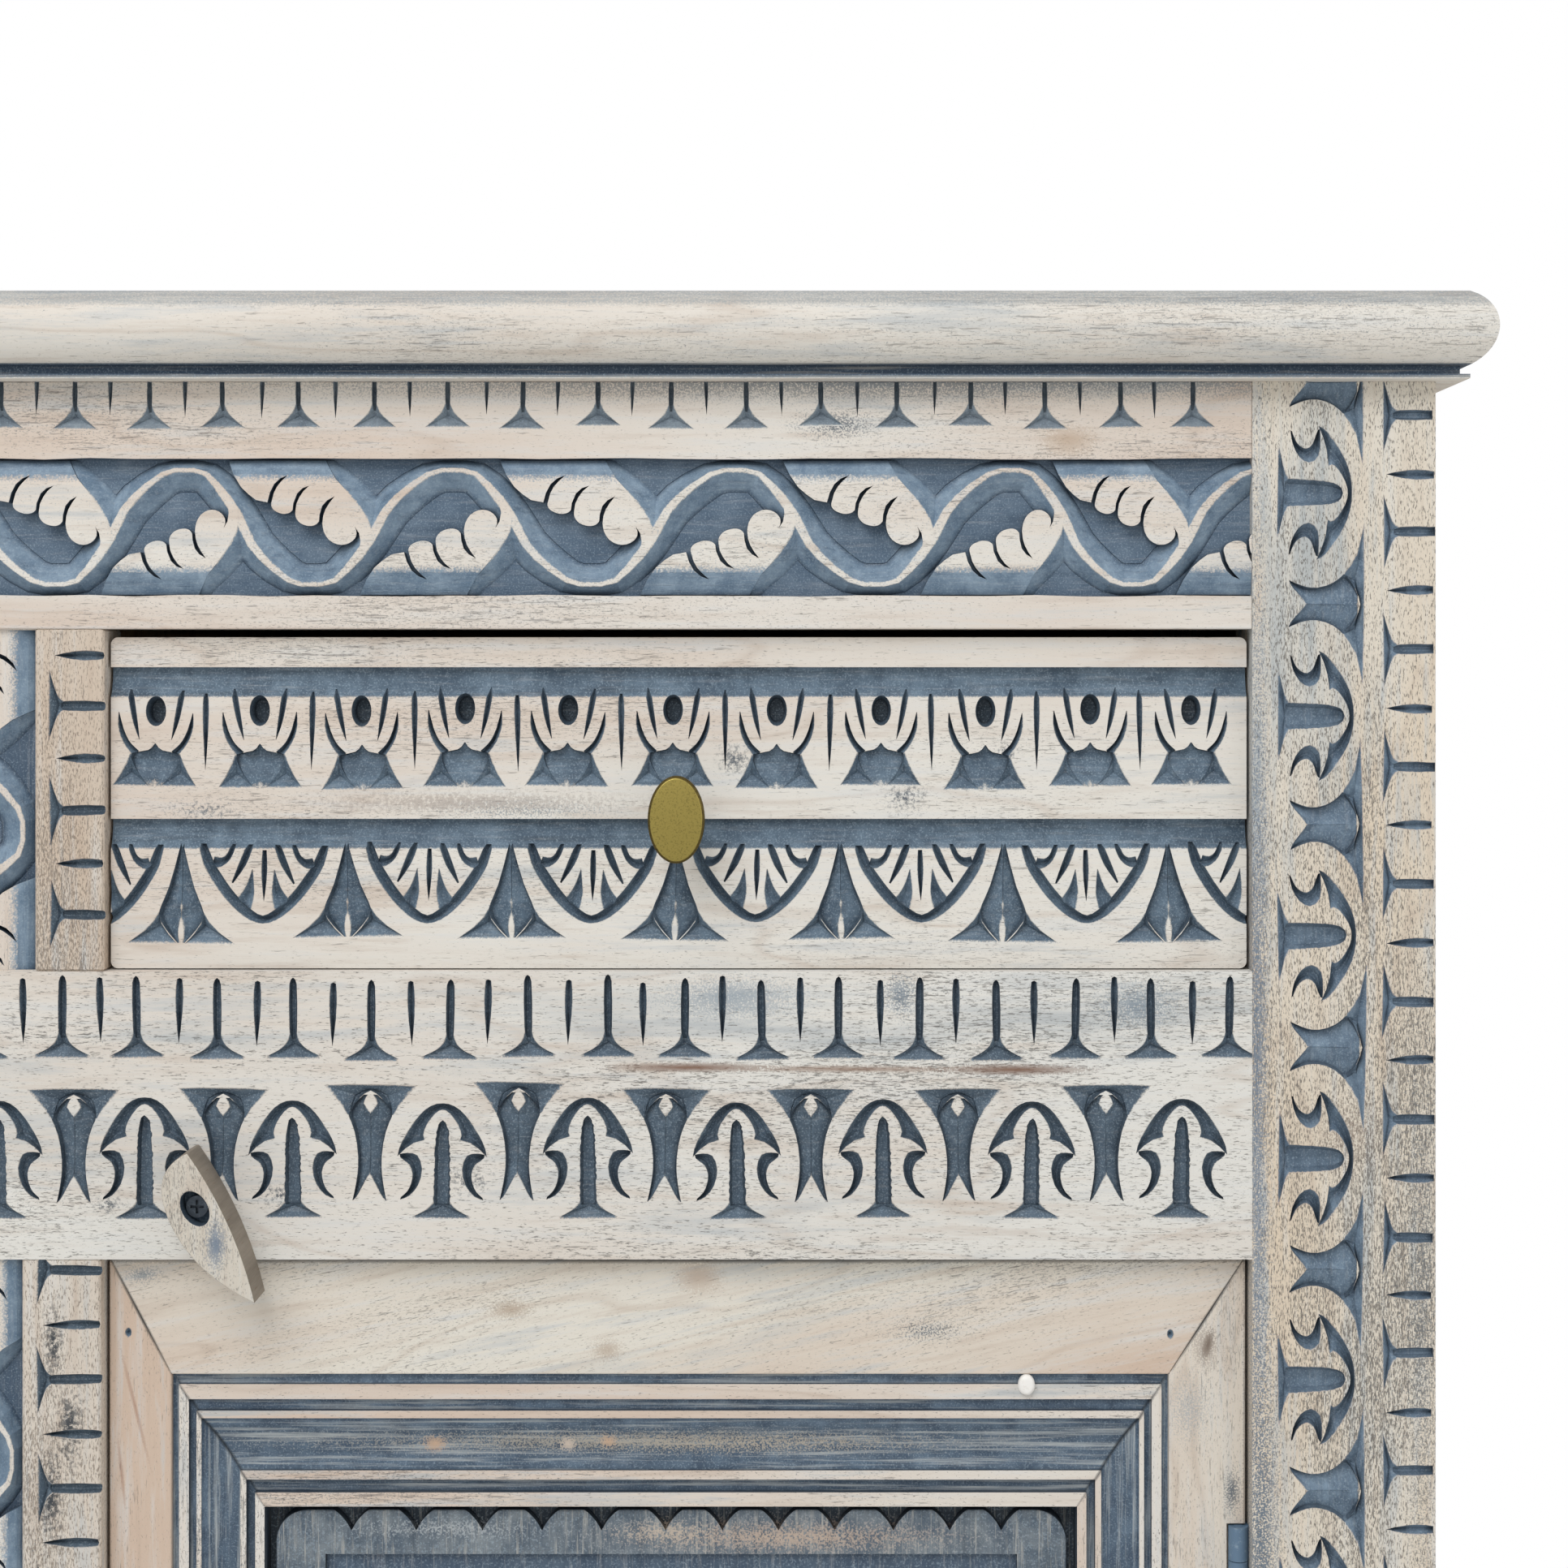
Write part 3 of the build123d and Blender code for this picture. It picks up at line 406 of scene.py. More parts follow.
        # Painted shade: the depth layer darkens the blue as the cut gets deeper.
        depth = add("Attribute", attribute_name="depth").outputs["Fac"]
        layers = (
            (mottle, 0.4, 0.68, 1.0, self.blue_pale),
            (dull, 0.48, 0.3, 0.5, self.blue_deep),
            (depth, *self.deep, self.deepness, self.blue_deep),
            (specks, 0.52, 0.72, 0.4, self.grit),
            (add("TexNoise", strokes), *self.strokes, self.brushed, self.stroke_tone),
        )
        blue = layered(tree, tone(self.blue), layers)
        rough_depth = add("Math", (specks, 0.8, depth), operation="MULTIPLY_ADD")
        share = add("MapRange", (rough_depth, *self.cover))
        colour = add("MixRGB", (share, colour, blue))
        # Painted shade: ambient occlusion darkens corners and creases, and steep walls in the blue are
        # darkened too, both towards a near-black blue.
        corner = add("AmbientOcclusion", {"Distance": 2.6 * MM}, samples=6, only_local=True).outputs["AO"]
        dark = add("MapRange", (corner, 0.66, 0.2, 0.0, self.shade))
        steep = add("Attribute", attribute_name="steep").outputs["Fac"]
        wall = add("MapRange", (steep, 0.3, 0.75, 0.0, self.shade * 0.9))
        wall = add("Math", (wall, share), operation="MULTIPLY")
        dark = add("Math", (dark, wall), operation="MAXIMUM")
        return add("MixRGB", (dark, colour, tone(self.crevice)))


@dataclass(frozen=True)
class BareWood:
    """Planed wood with no finish, as inside the case: warm, matt, with its own growth bands and pores."""

    name: str
    grain: Grain
    light: str = "#C9A47A"
    dark: str = "#A77F58"
    pore: str = "#6B4C33"

    def build(self) -> bpy.types.Material:
        """Makes the material.

        Returns:
            The finished material.
        """
        made, tree, output = blank_material(self.name)
        add = partial(node, tree)
        along = stretched(tree, add("TexCoord").outputs["Object"], self.grain, 16)
        # Growth bands 17 mm wide, fibres 3 mm wide and pores 0.8 mm wide, all sixteen times as long.
        bands = add("TexNoise", {"Vector": along, "Scale": 60.0, "Detail": 5.0, "Distortion": 0.6})
        fibres = add("TexNoise", {"Vector": along, "Scale": 380.0, "Detail": 6.0, "Roughness": 0.75})
        pores = add("TexNoise", {"Vector": along, "Scale": 1300.0, "Detail": 2.0})
        figure = add("Math", (fibres, 0.8, bands), operation="MULTIPLY_ADD")
        layers = ((figure, 0.7, 1.14, 1.0, self.dark), (pores, 0.66, 0.74, 0.5, self.pore))
        colour = layered(tree, tone(self.light), layers)
        bump = add("Bump", {"Height": bands, "Strength": 0.25, "Distance": 0.4 * MM})
        surface = {"Base Color": colour, "Roughness": 0.68, "Normal": bump, "IOR": WOOD_IOR}
        tree.links.new(add("BsdfPrincipled", surface).outputs[0], output.inputs["Surface"])
        return made


@dataclass(frozen=True)
class HandledSurface:
    """Metal or plastic that hands have worn: its rubbed patches differ in tone and in gloss."""

    name: str
    base: str
    patch: str
    metallic: float
    roughness: float
    patch_roughness: float
    patch_scale: float = 400.0
    threshold: float = 0.5

    def build(self) -> bpy.types.Material:
        """Makes the material.

        Returns:
            The finished material.
        """
        made, tree, output = blank_material(self.name)
        add = partial(node, tree)
        place = add("TexCoord").outputs["Object"]
        grit = add("TexNoise", {"Vector": place, "Scale": self.patch_scale, "Detail": 6.0, "Roughness": 0.7})
        share = add("MapRange", (grit, self.threshold, self.threshold + 0.14))
        surface = {
            "Base Color": add("MixRGB", (share, tone(self.base), tone(self.patch))),
            "Metallic": self.metallic,
            "Roughness": add("MapRange", (share, 0.0, 1.0, self.roughness, self.patch_roughness)),
            "Normal": add("Bump", {"Height": grit, "Strength": 0.3, "Distance": 0.1 * MM}),
        }
        tree.links.new(add("BsdfPrincipled", surface).outputs[0], output.inputs["Surface"])
        return made


# ------------------------------------------------------------------ outlines and shells
def curve(points: Sequence[Pair], steps: int = 4) -> list[Pair]:
    """Rounds a run of points into a smooth line that passes through each of them.

    Args:
        points: The points to pass through.
        steps: Pieces between two points.

    Returns:
        The points of the smooth line, its ends included.
    """
    ends = [points[0], *points, points[-1]]
    line = [points[0]]
    for a, b, c, d in zip(ends, ends[1:], ends[2:], ends[3:]):
        for step in range(1, steps + 1):
            t = step / steps
            weights = (-t + 2 * t**2 - t**3, 2 - 5 * t**2 + 3 * t**3, t + 4 * t**2 - 3 * t**3, t**3 - t**2)
            pulls = [[0.5 * weight * at for at in point] for weight, point in zip(weights, (a, b, c, d))]
            line.append((sum(pull[0] for pull in pulls), sum(pull[1] for pull in pulls)))
    return line


def flipped(points: Iterable[Pair], sign: int = -1) -> list[Pair]:
    """The same points, on the other side of a motif's middle line where the sign is -1."""
    return [(u * sign, v) for u, v in points]


def oval(half_wide: float, half_tall: float, count: int) -> list[Pair]:
    """The outline of a drilled hole or a plug: an upright oval around the origin."""
    turns = [2 * math.pi * i / count for i in range(count)]
    return [(half_wide * math.cos(turn), half_tall * math.sin(turn)) for turn in turns]


def corners(u: Pair, v: Pair) -> list[Pair]:
    """The four corners of an upright rectangle between two u and two v."""
    return [(u[0], v[0]), (u[1], v[0]), (u[1], v[1]), (u[0], v[1])]


@dataclass(frozen=True)
class Place:
    """Where and how a motif stands on a face: its origin, its turn in degrees, and its stretch."""

    u: float
    v: float
    turn: float = 0.0
    wide: float = 1.0
    tall: float = 1.0

    def put(self, u: float, v: float) -> Pair:
        """Takes a motif's own point to the face.

        Args:
            u: The point's own place across the motif.
            v: The point's own place up the motif.

        Returns:
            Its place on the face.
        """
        angle = math.radians(self.turn)
        u, v = u * self.wide, v * self.tall
        return (
            self.u + u * math.cos(angle) - v * math.sin(angle),
            self.v + u * math.sin(angle) + v * math.cos(angle),
        )

    def by_hand(self, chance: random.Random, slip: float = 0.35) -> "Place":
        """The same place with the small errors of hand work.

        Args:
            chance: The source of chance.
            slip: The largest slip, in millimetres.

        Returns:
            The place a little off.
        """
        return replace(
            self,
            u=self.u + chance.uniform(-slip, slip),
            v=self.v + chance.uniform(-slip, slip),
            turn=self.turn + chance.uniform(-1.2, 1.2),
            wide=self.wide * chance.uniform(0.97, 1.03),
            tall=self.tall * chance.uniform(0.97, 1.03),
        )


class Shells:
    """Closed shells on a board's face, gathered in one mesh: hollows to cut, or forms that stand up."""

    def __init__(self, face: float) -> None:
        """Starts with no shell.

        Args:
            face: The Y of the board's face.
        """
        self.face = face
        self.mesh = bmesh.new()

    def loft(self, place: Place, rings: Sequence[Sequence[Spot3]]) -> None:
        """Adds one closed shell.

        Args:
            place: Where it stands.
            rings: Rings of (u, v, depth) points, each with as many as the first. The last may be one point.
        """
        loops = []
        for ring in rings:
            spots = [(*place.put(u, v), depth) for u, v, depth in ring]
            loops.append([self.mesh.verts.new((u * MM, (self.face + d) * MM, v * MM)) for u, v, d in spots])
        for low, high in zip(loops, loops[1:]):
            for i in range(len(low)):
                if len(high) == 1:
                    self.mesh.faces.new((low[i - 1], low[i], high[0]))
                else:
                    self.mesh.faces.new((low[i - 1], low[i], high[i], high[i - 1]))
        self.mesh.faces.new(loops[0])
        if len(loops[-1]) > 1:
            self.mesh.faces.new(loops[-1][::-1])

    def chip(self, place: Place, outline: Sequence[Pair], apex: Pair, depth: float) -> None:
        """A chip: flat cuts from the outline down to one deepest point.

        Args:
            place: Where it stands.
            outline: Its outline on the face.
            apex: Where it is deepest.
            depth: How deep it is there.
        """
        above = [(u, v, -LIFT) for u, v in outline]
        rim = [(u, v, 0.0) for u, v in outline]
        self.loft(place, [above, rim, [(*apex, depth)]])

    def channel(
        self,
        place: Place,
        left: Sequence[Pair],
        right: Sequence[Pair],
        depth: float,
        keel: float = 0.5,
        floor: float = 0.05,
        taper: float = 0.4,
    ) -> None:
        """A gouge cut between two edges.

        Args:
            place: Where it stands.
            left: One edge, as points.
            right: The other edge, with as many points.
            depth: The depth where it is widest.
            keel: Where the deepest line runs, as a share of the way from left to right.
            floor: The share of the width that is flat at the bottom.
            taper: The share of the greatest width below which it gets shallower.
        """
        widths = [math.dist(a, b) for a, b in zip(left, right)]
        widest = max(widths)
        wide = [i for i, width in enumerate(widths) if width >= 0.1]
        rings = []
        for i, (a, b) in enumerate(zip(left, right)):
            if widths[i] < 0.1:
                near = min(wide, key=lambda j: abs(j - i))
                half = (Vector(right[near]) - Vector(left[near])).normalized() * 0.05
                a, b = (a[0] - half.x, a[1] - half.y), (a[0] + half.x, a[1] + half.y)
            low = depth * min(1.0, math.dist(a, b) / (widest * taper)) + 0.03
            first = keel * (1 - floor)
            stops = [(0, -LIFT), (0, 0.0), (first, low * 0.86), (first + floor / 2, low)]
            stops += [(first + floor, low * 0.86), (1, 0.0), (1, -LIFT)]
            rings.append([(a[0] + (b[0] - a[0]) * t, a[1] + (b[1] - a[1]) * t, d) for t, d in stops])
        self.loft(place, rings)

    def ridged(self, place: Place, levels: Sequence[Sequence[float]]) -> None:
        """A hollow whose floor rises to a ridge, or to an island of whole wood, along its middle.

        Args:
            place: Where it stands.
            levels: From one end to the other: v, half width, depth beside the walls, and the half width and
                depth of the middle, which is an island where that depth is under 0.
        """
        rings = []
        for v, half, depth, core, ridge in levels:
            wall, flank = half - 0.14 * (half - core), core + 0.32 * (half - core)
            bend = 0.55 * depth + 0.35 * ridge
            right = [(core, ridge), (flank, bend), (wall, depth), (half, 0.0), (half, -LIFT)]
            ring = flipped(right[::-1]) + [(0.0, ridge - 0.3)] + right
            rings.append([(u, v, d) for u, d in ring])
        self.loft(place, rings)

    def pocket(self, place: Place, outline: Sequence[Pair], depth: float) -> None:
        """A hollow with upright walls and a flat floor."""
        self.loft(place, [[(u, v, d) for u, v in outline] for d in (-LIFT, depth)])

    def pillar(self, place: Place, outline: Sequence[Pair], top: float, foot: float) -> None:
        """A form that stands in a hollow, from its foot's depth up to its top."""
        self.loft(place, [[(u, v, d) for u, v in outline] for d in (top, foot)])

    def object(self, name: str) -> bpy.types.Object:
        """Closes the mesh and hands it over.

        Args:
            name: The object's name.

        Returns:
            An object whose faces use the second material.
        """
        bmesh.ops.recalc_face_normals(self.mesh, faces=self.mesh.faces)
        for face in self.mesh.faces:
            face.material_index = 1
        return linked(name, self.mesh)


class Carving:
    """The cuts of one board, in passes, so that shells that overlap are cut one after the other."""

    def __init__(self, face: float) -> None:
        """Starts with no cut.

        Args:
            face: The Y of the board's face.
        """
        self.face = face
        self.passes: dict[str, Shells] = {}

    def __getitem__(self, name: str) -> Shells:
        """Finds the shells of one pass, and begins it if it is new.

        Args:
            name: The name of the pass.

        Returns:
            Its shells.
        """
        if name not in self.passes:
            self.passes[name] = Shells(self.face)
        return self.passes[name]

    def cut(self, board: bpy.types.Object) -> None:
        """Cuts every pass out of the board."""
        for name, shells in self.passes.items():
            combine(board, shells.object(name), "DIFFERENCE")


# ------------------------------------------------------------------ objects
def linked(name: str, shape: bmesh.types.BMesh) -> bpy.types.Object:
    """Turns a mesh under construction into an object.

    Args:
        name: The object's name.
        shape: The mesh, which is freed.

    Returns:
        The object, with two material slots: for the wood and for its carving.
    """
    data = bpy.data.meshes.new(name)
    shape.to_mesh(data)
    shape.free()
    for _ in range(2):
        data.materials.append(None)
    made = bpy.data.objects.new(name, data)
    bpy.context.scene.collection.objects.link(made)
    return made


def only(made: bpy.types.Object) -> None:
    """Makes one object the active and only selected one.

    Args:
        made: The object.
    """
    bpy.ops.object.select_all(action="DESELECT")
    made.select_set(True)
    bpy.context.view_layer.objects.active = made


def apply(made: bpy.types.Object, kind: str, **settings: object) -> None:
    """Adds a modifier and applies it.

    Args:
        made: The object that is changed.
        kind: The modifier's type.
        settings: Its settings.
    """
    only(made)
    modifier = made.modifiers.new(kind.lower(), kind)
    for name, value in settings.items():
        setattr(modifier, name, value)
    bpy.ops.object.modifier_apply(modifier=modifier.name)


def ease(made: bpy.types.Object, width: float, segments: int = 1) -> None:
    """Eases the sharp edges of a piece.

    Args:
        made: The piece.
        width: The width of the eased edge, in millimetres.
        segments: How many flats round it.
    """
    angle = math.radians(40)
    apply(made, "BEVEL", width=width * MM, segments=segments, limit_method="ANGLE", angle_limit=angle)


def smooth(made: bpy.types.Object, angle: float) -> None:
    """Shades a piece smooth wherever its faces meet at less than an angle in degrees."""
    only(made)
    bpy.ops.object.shade_smooth_by_angle(angle=math.radians(angle))


def box_of(name: str) -> tuple[Vector, Vector]:
    """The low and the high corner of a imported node, in millimetres."""
    low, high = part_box(name)
    return Vector(low) / MM, Vector(high) / MM


def face_of(name: str) -> float:
    """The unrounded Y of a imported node's front, in millimetres: a rim that lies on it leaves no sliver."""
    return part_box(name)[0].y / MM


def top_of(name: str) -> float:
    """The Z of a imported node's top, in millimetres, to the nearest tenth."""
    return round(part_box(name)[1].z / MM, 1)


def combine(board: bpy.types.Object, tool: bpy.types.Object, operation: str) -> None:
    """Cuts a tool from a board, joins it to the board, or keeps what both share.

    Args:
        board: The object that is changed.
        tool: The object that changes it, which is then removed.
        operation: DIFFERENCE, UNION or INTERSECT.
    """
    before = len(board.data.polygons)
    apply(board, "BOOLEAN", object=tool, operation=operation, solver="MANIFOLD")
    if len(board.data.polygons) == before:
        log.warning("%s of %s changed nothing", operation, tool.name)
    bpy.data.objects.remove(tool)


def cad_copy(name: str, piece: str) -> bpy.types.Object:
    """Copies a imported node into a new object, with its loose triangles merged.

    Args:
        name: The node's name.
        piece: The new object's name.

    Returns:
        The copy.
    """
    shape = bmesh.new()
    shape.from_mesh(frame["nodes"][name].data)
    bmesh.ops.remove_doubles(shape, verts=shape.verts, dist=1e-6)
    bmesh.ops.dissolve_limit(shape, angle_limit=math.radians(0.5), verts=shape.verts, edges=shape.edges)
    return linked(piece, shape)


def mark(made: bpy.types.Object, face: float, seed: float, warmth: float = 0.3) -> None:
    """Stores what the finish reads from each point.

    Args:
        made: The piece.
        face: The Y of its face, from which each point's depth is taken.
        seed: The board's own shift of the pattern.
        warmth: How much of the beige shows through, from 0 to 1.
    """
    depth = made.data.attributes.new("depth", "FLOAT", "POINT")
    board = made.data.attributes.new("board", "FLOAT", "POINT")
    beige = made.data.attributes.new("warmth", "FLOAT", "POINT")
    for i, vertex in enumerate(made.data.vertices):
        depth.data[i].value = vertex.co.y / MM - face
        board.data[i].value = seed
        beige.data[i].value = warmth
    steep = made.data.attributes.new("steep", "FLOAT", "FACE")
    for i, polygon in enumerate(made.data.polygons):
        steep.data[i].value = 1 - abs(polygon.normal.y)


def finish_piece(
    made: bpy.types.Object, materials: Sequence[bpy.types.Material], body: str, slot: str, name: str
) -> None:
    """Gives a piece its materials and its body, and hides the node that it replaces.

    Args:
        made: The piece.
        materials: Its materials, in the order of its faces' indices.
        body: The body that it rides on.
        slot: Its material slot; not used.
        name: The node that it replaces.
    """
    slots = made.data.materials
    while len(slots) < len(materials):
        slots.append(None)
    for i, material in enumerate(materials):
        slots[i] = material
    while len(slots) > len(materials):
        slots.pop()
    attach(made, body)
    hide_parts(name)
    log.info("%s: %d faces", made.name, len(made.data.polygons))


class Workshop:
    """What every sub-assembly draws on: the finishes, each made once, and the record's own facts."""

    def __init__(self) -> None:
        """Reads the bodies and slots of the nodes."""
        record = frame["record"]
        groups = record["behaviour"]["bodies"]
        self.body = {name: body for body, names in groups.items() for name in names}
        self.slot = {part["node"]: part["material_slot"] for part in record["subparts"]}
        self.made: dict[str, bpy.types.Material] = {}
        self.chance = random.Random(11)

    def finish(self, finish: WashedMango | BareWood | HandledSurface) -> bpy.types.Material:
        """Makes the material of a finish at its first use.

        Args:
            finish: The finish.

        Returns:
            Its material.
        """
        if finish.name not in self.made:
            self.made[finish.name] = finish.build()
        return self.made[finish.name]

    def washed(
        self, grain: Grain, wash: Wash = Wash.WHITE, tag: str = "", **changes: object
    ) -> bpy.types.Material:
        """Makes washed wood with its fibres along one axis.

        Args:
            grain: The way of its fibres.
            wash: What is left on it.
            tag: What sets its name apart from that of other boards.
            changes: Its own tones and strengths.

        Returns:
            Its material.
        """
        name = f"washed_mango_{wash.value}_{grain.name.lower()}{tag}"
        return self.finish(WashedMango(name, grain, wash, **changes))

    def bare(self, grain: Grain) -> bpy.types.Material:
        """The unfinished wood of the inside, with its fibres along one axis."""
        return self.finish(BareWood(f"bare_mango_{grain.name.lower()}", grain))

    def done(self, made: bpy.types.Object, name: str, materials: Sequence[bpy.types.Material]) -> None:
        """Finishes a piece that stands for one node, on that node's own body."""
        finish_piece(made, materials, self.body[name], self.slot[name], name)

    def board(
        self,
        name: str,
        grain: Grain,
        face: float | None = None,
        carving: Carving | None = None,
        eased: float = 0.4,
        materials: Sequence[bpy.types.Material] | None = None,
        warmth: float = 0.3,
    ) -> bpy.types.Object:
        """Makes one board from its node: edges eased, carving cut, both washes laid on.

        Args:
            name: The node's name.
            grain: The way of its fibres.
            face: The Y of its carved face, or None for its lowest Y.
            carving: The cuts, if it is carved.
            eased: The width of its eased edges.
            materials: Its materials, if not the two washes.
            warmth: How much of the beige shows through, from 0 to 1.

        Returns:
            The finished piece.
        """
        made = cad_copy(name, name + "_finished")
        ease(made, eased)
        if carving:
            carving.cut(made)
        if face is None:
            face = face_of(name)
        mark(made, face, self.chance.uniform(0, 3), warmth)
        if materials is None:
            materials = [self.washed(grain), self.washed(grain, Wash.CARVED)]
        self.done(made, name, materials)
        return made


# The vine's blue is paler than the other carving's, and its painted shade darkens only its creases.
VINE_BLUES = {
    "blue": "#647A8F",
    "blue_pale": "#8DA1B3",
    "blue_deep": "#3A4C60",
    "cover": (0.62, 0.95),
    "shade": 0.72,
    "deep": (3.9, 5.2),
    "deepness": 0.85,
}
# The posts have lost more of their whitewash than the other boards.
WEATHERED = {
    "cream": "#DFDCD3",
    "beige": "#DACAB4",
    "haze": "#B0B5B6",
    "fleck": "#625D57",
    "flecks": 0.8,
    "coarse": 0.1,
    "wear": 1.4,
    "hazed": (0.87, 1.1),
}


# ------------------------------------------------------------------ motifs
HALVES = ((1, ""), (-1, "_right"))  # the sign of u in each half of a motif, and the end of its pass's name


@dataclass(frozen=True)
class FootedTick:
    """An upright cut that stands on a three-cornered foot with hollow sides. Its foot's base is at v = 0."""

    reach: float
    foot_height: float
    stem_top: float
    stem_half: float
    blunt: float = 0.0
    depth: float = 3.2
    pointed: bool = False
    hollow: float = 1.0

    def cut(self, carving: Carving, place: Place) -> None:
        """Cuts the foot, then the stem.

        Args:
            carving: The board's cuts.
            place: Where the foot's base stands.
        """
        w, h, s = self.reach, self.foot_height, self.stem_half
        out = 0.12 * (1 - self.hollow)
        side = [(s * 0.8, h), (w * (0.24 + out), h * 0.62), (w * (0.54 + out), h * 0.33)]
        side = curve([*side, (w, self.blunt + 0.05)], 3)
        outline = side + [(w * 0.97, 0.0), (-w * 0.97, 0.0)] + flipped(side[::-1])
        carving["feet"].chip(place, outline, (0.0, h * 0.5), self.depth)
        top = self.stem_top
        line = [(s * 0.8, h * 0.7), (s, h * 1.1), (s * 1.08, (h + top) / 2), (s * 0.95, top - 2.5)]
        line += [(s * 0.6, top - 0.8), (0.0, top)] if self.pointed else [(s * 0.95, top)]
        carving["stems"].channel(place, flipped(line), line, self.depth * 0.85, floor=0.45)


@dataclass(frozen=True)
class PlainTick:
    """A single tapered cut from v = 0, its point, up to its length."""

    length: float
    half: float
    fullest: float = 0.75
    depth: float = 2.4
    closed: bool = True

    def cut(self, shells: Shells, place: Place) -> None:
        """Cuts the tick.

        Args:
            shells: The pass that it is cut in.
            place: Where its lower point stands.
        """
        n, w, f = self.length, self.half, self.fullest
        line = [(0.0, 0.0), (w * 0.45, n * f * 0.3), (w * 0.85, n * f * 0.7), (w, n * f)]
        line += [(w * 0.92, n * (f + 1) / 2), (w * 0.7, n * 0.98)]
        line += [(0.0, n)] if self.closed else []
        shells.channel(place, flipped(line), line, self.depth, floor=0.2)


@dataclass(frozen=True)
class CappedStem:
    """The turned T: a stem on a foot, under a scalloped cap, between two hooks.

    Its foot's base is at v = 0.
    """

    depth: float = 3.0
    foot_reach: float = 11.2
    stem_foot: float = 4.8
    stem_top: float = 37.4
    stem_half: float = 3.1
    foot_height: float = 9.0
    rough: float = 0.7

    def cut(self, carving: Carving, place: Place, chance: random.Random) -> None:
        """Cuts the whole motif.

        Args:
            carving: The board's cuts.
            place: Where the foot's base stands.
            chance: The source of chance for the stem's rough edges.
        """
        h = self.foot_height
        foot = curve([(2.2, h), (3.5, h * 0.66), (6.4, h * 0.34), (self.foot_reach, 0.5)], 3)
        base = self.foot_reach * 0.97
        outline = foot + [(base, -0.2), (-base, -0.2)] + flipped(foot[::-1])
        carving["feet"].chip(place, outline, (0.0, h * 0.46), self.depth)
        count = 36
        levels = [self.stem_foot + (self.stem_top - self.stem_foot) * i / count for i in range(count + 1)]
        left = [(-self.half(v) - self.rough * chance.choice((0.0, 0.0, 0.15, 0.4)), v) for v in levels]
        right = [(self.half(v) + self.rough * chance.choice((0.0, 0.1, 0.2, 0.6)), v) for v in levels]
        carving["stems"].channel(place, left, right, self.depth, floor=0.66, taper=0.5)
        outer = [(-16.8, 23.6), (-16.2, 26.6), (-15.0, 29.6), (-13.4, 32.6), (-11.9, 35.0), (-10.4, 37.2)]
        outer += [(-8.8, 39.2), (-6.9, 41.2), (-4.6, 42.8), (-2.3, 43.7), (0.0, 43.9)]
        inner = [(-16.6, 23.6), (-13.8, 26.4), (-10.6, 28.6), (-6.5, 29.8), (-7.0, 31.6), (-6.7, 33.4)]
        inner += [(-5.8, 35.6), (-4.4, 37.8), (-2.8, 39.8), (-1.2, 41.0), (0.0, 41.3)]
        outer += flipped(outer[-2::-1])
        inner += flipped(inner[-2::-1])
        carving["caps"].channel(place, outer, inner, self.depth, keel=0.5, floor=0.3, taper=0.45)
        bulge = [(-16.0, 24.4), (-13.0, 24.9), (-9.2, 24.0), (-7.4, 18.8)]
        bulge += [(-8.8, 12.6), (-12.2, 8.4), (-15.6, 7.0)]
        hollow = [(-15.7, 23.1), (-14.2, 21.8), (-12.3, 20.2), (-11.1, 16.9)]
        hollow += [(-11.6, 13.2), (-13.0, 10.2), (-15.3, 8.0)]
        for sign, half in HALVES:
            edges = [curve(flipped(line, sign), 2) for line in (bulge, hollow)]
            carving["hooks" + half].channel(place, *edges, self.depth, keel=0.6, floor=0.35, taper=0.5)

    def half(self, v: float) -> float:
        """The stem's half width at a height: even, then drawn in to a rounded tip."""
        share = min(1.0, max(0.0, (v - self.stem_foot) / (self.stem_top - self.stem_foot)))
        return self.stem_half * (1 - 0.18 * share) * (1 - share**7) ** 0.5


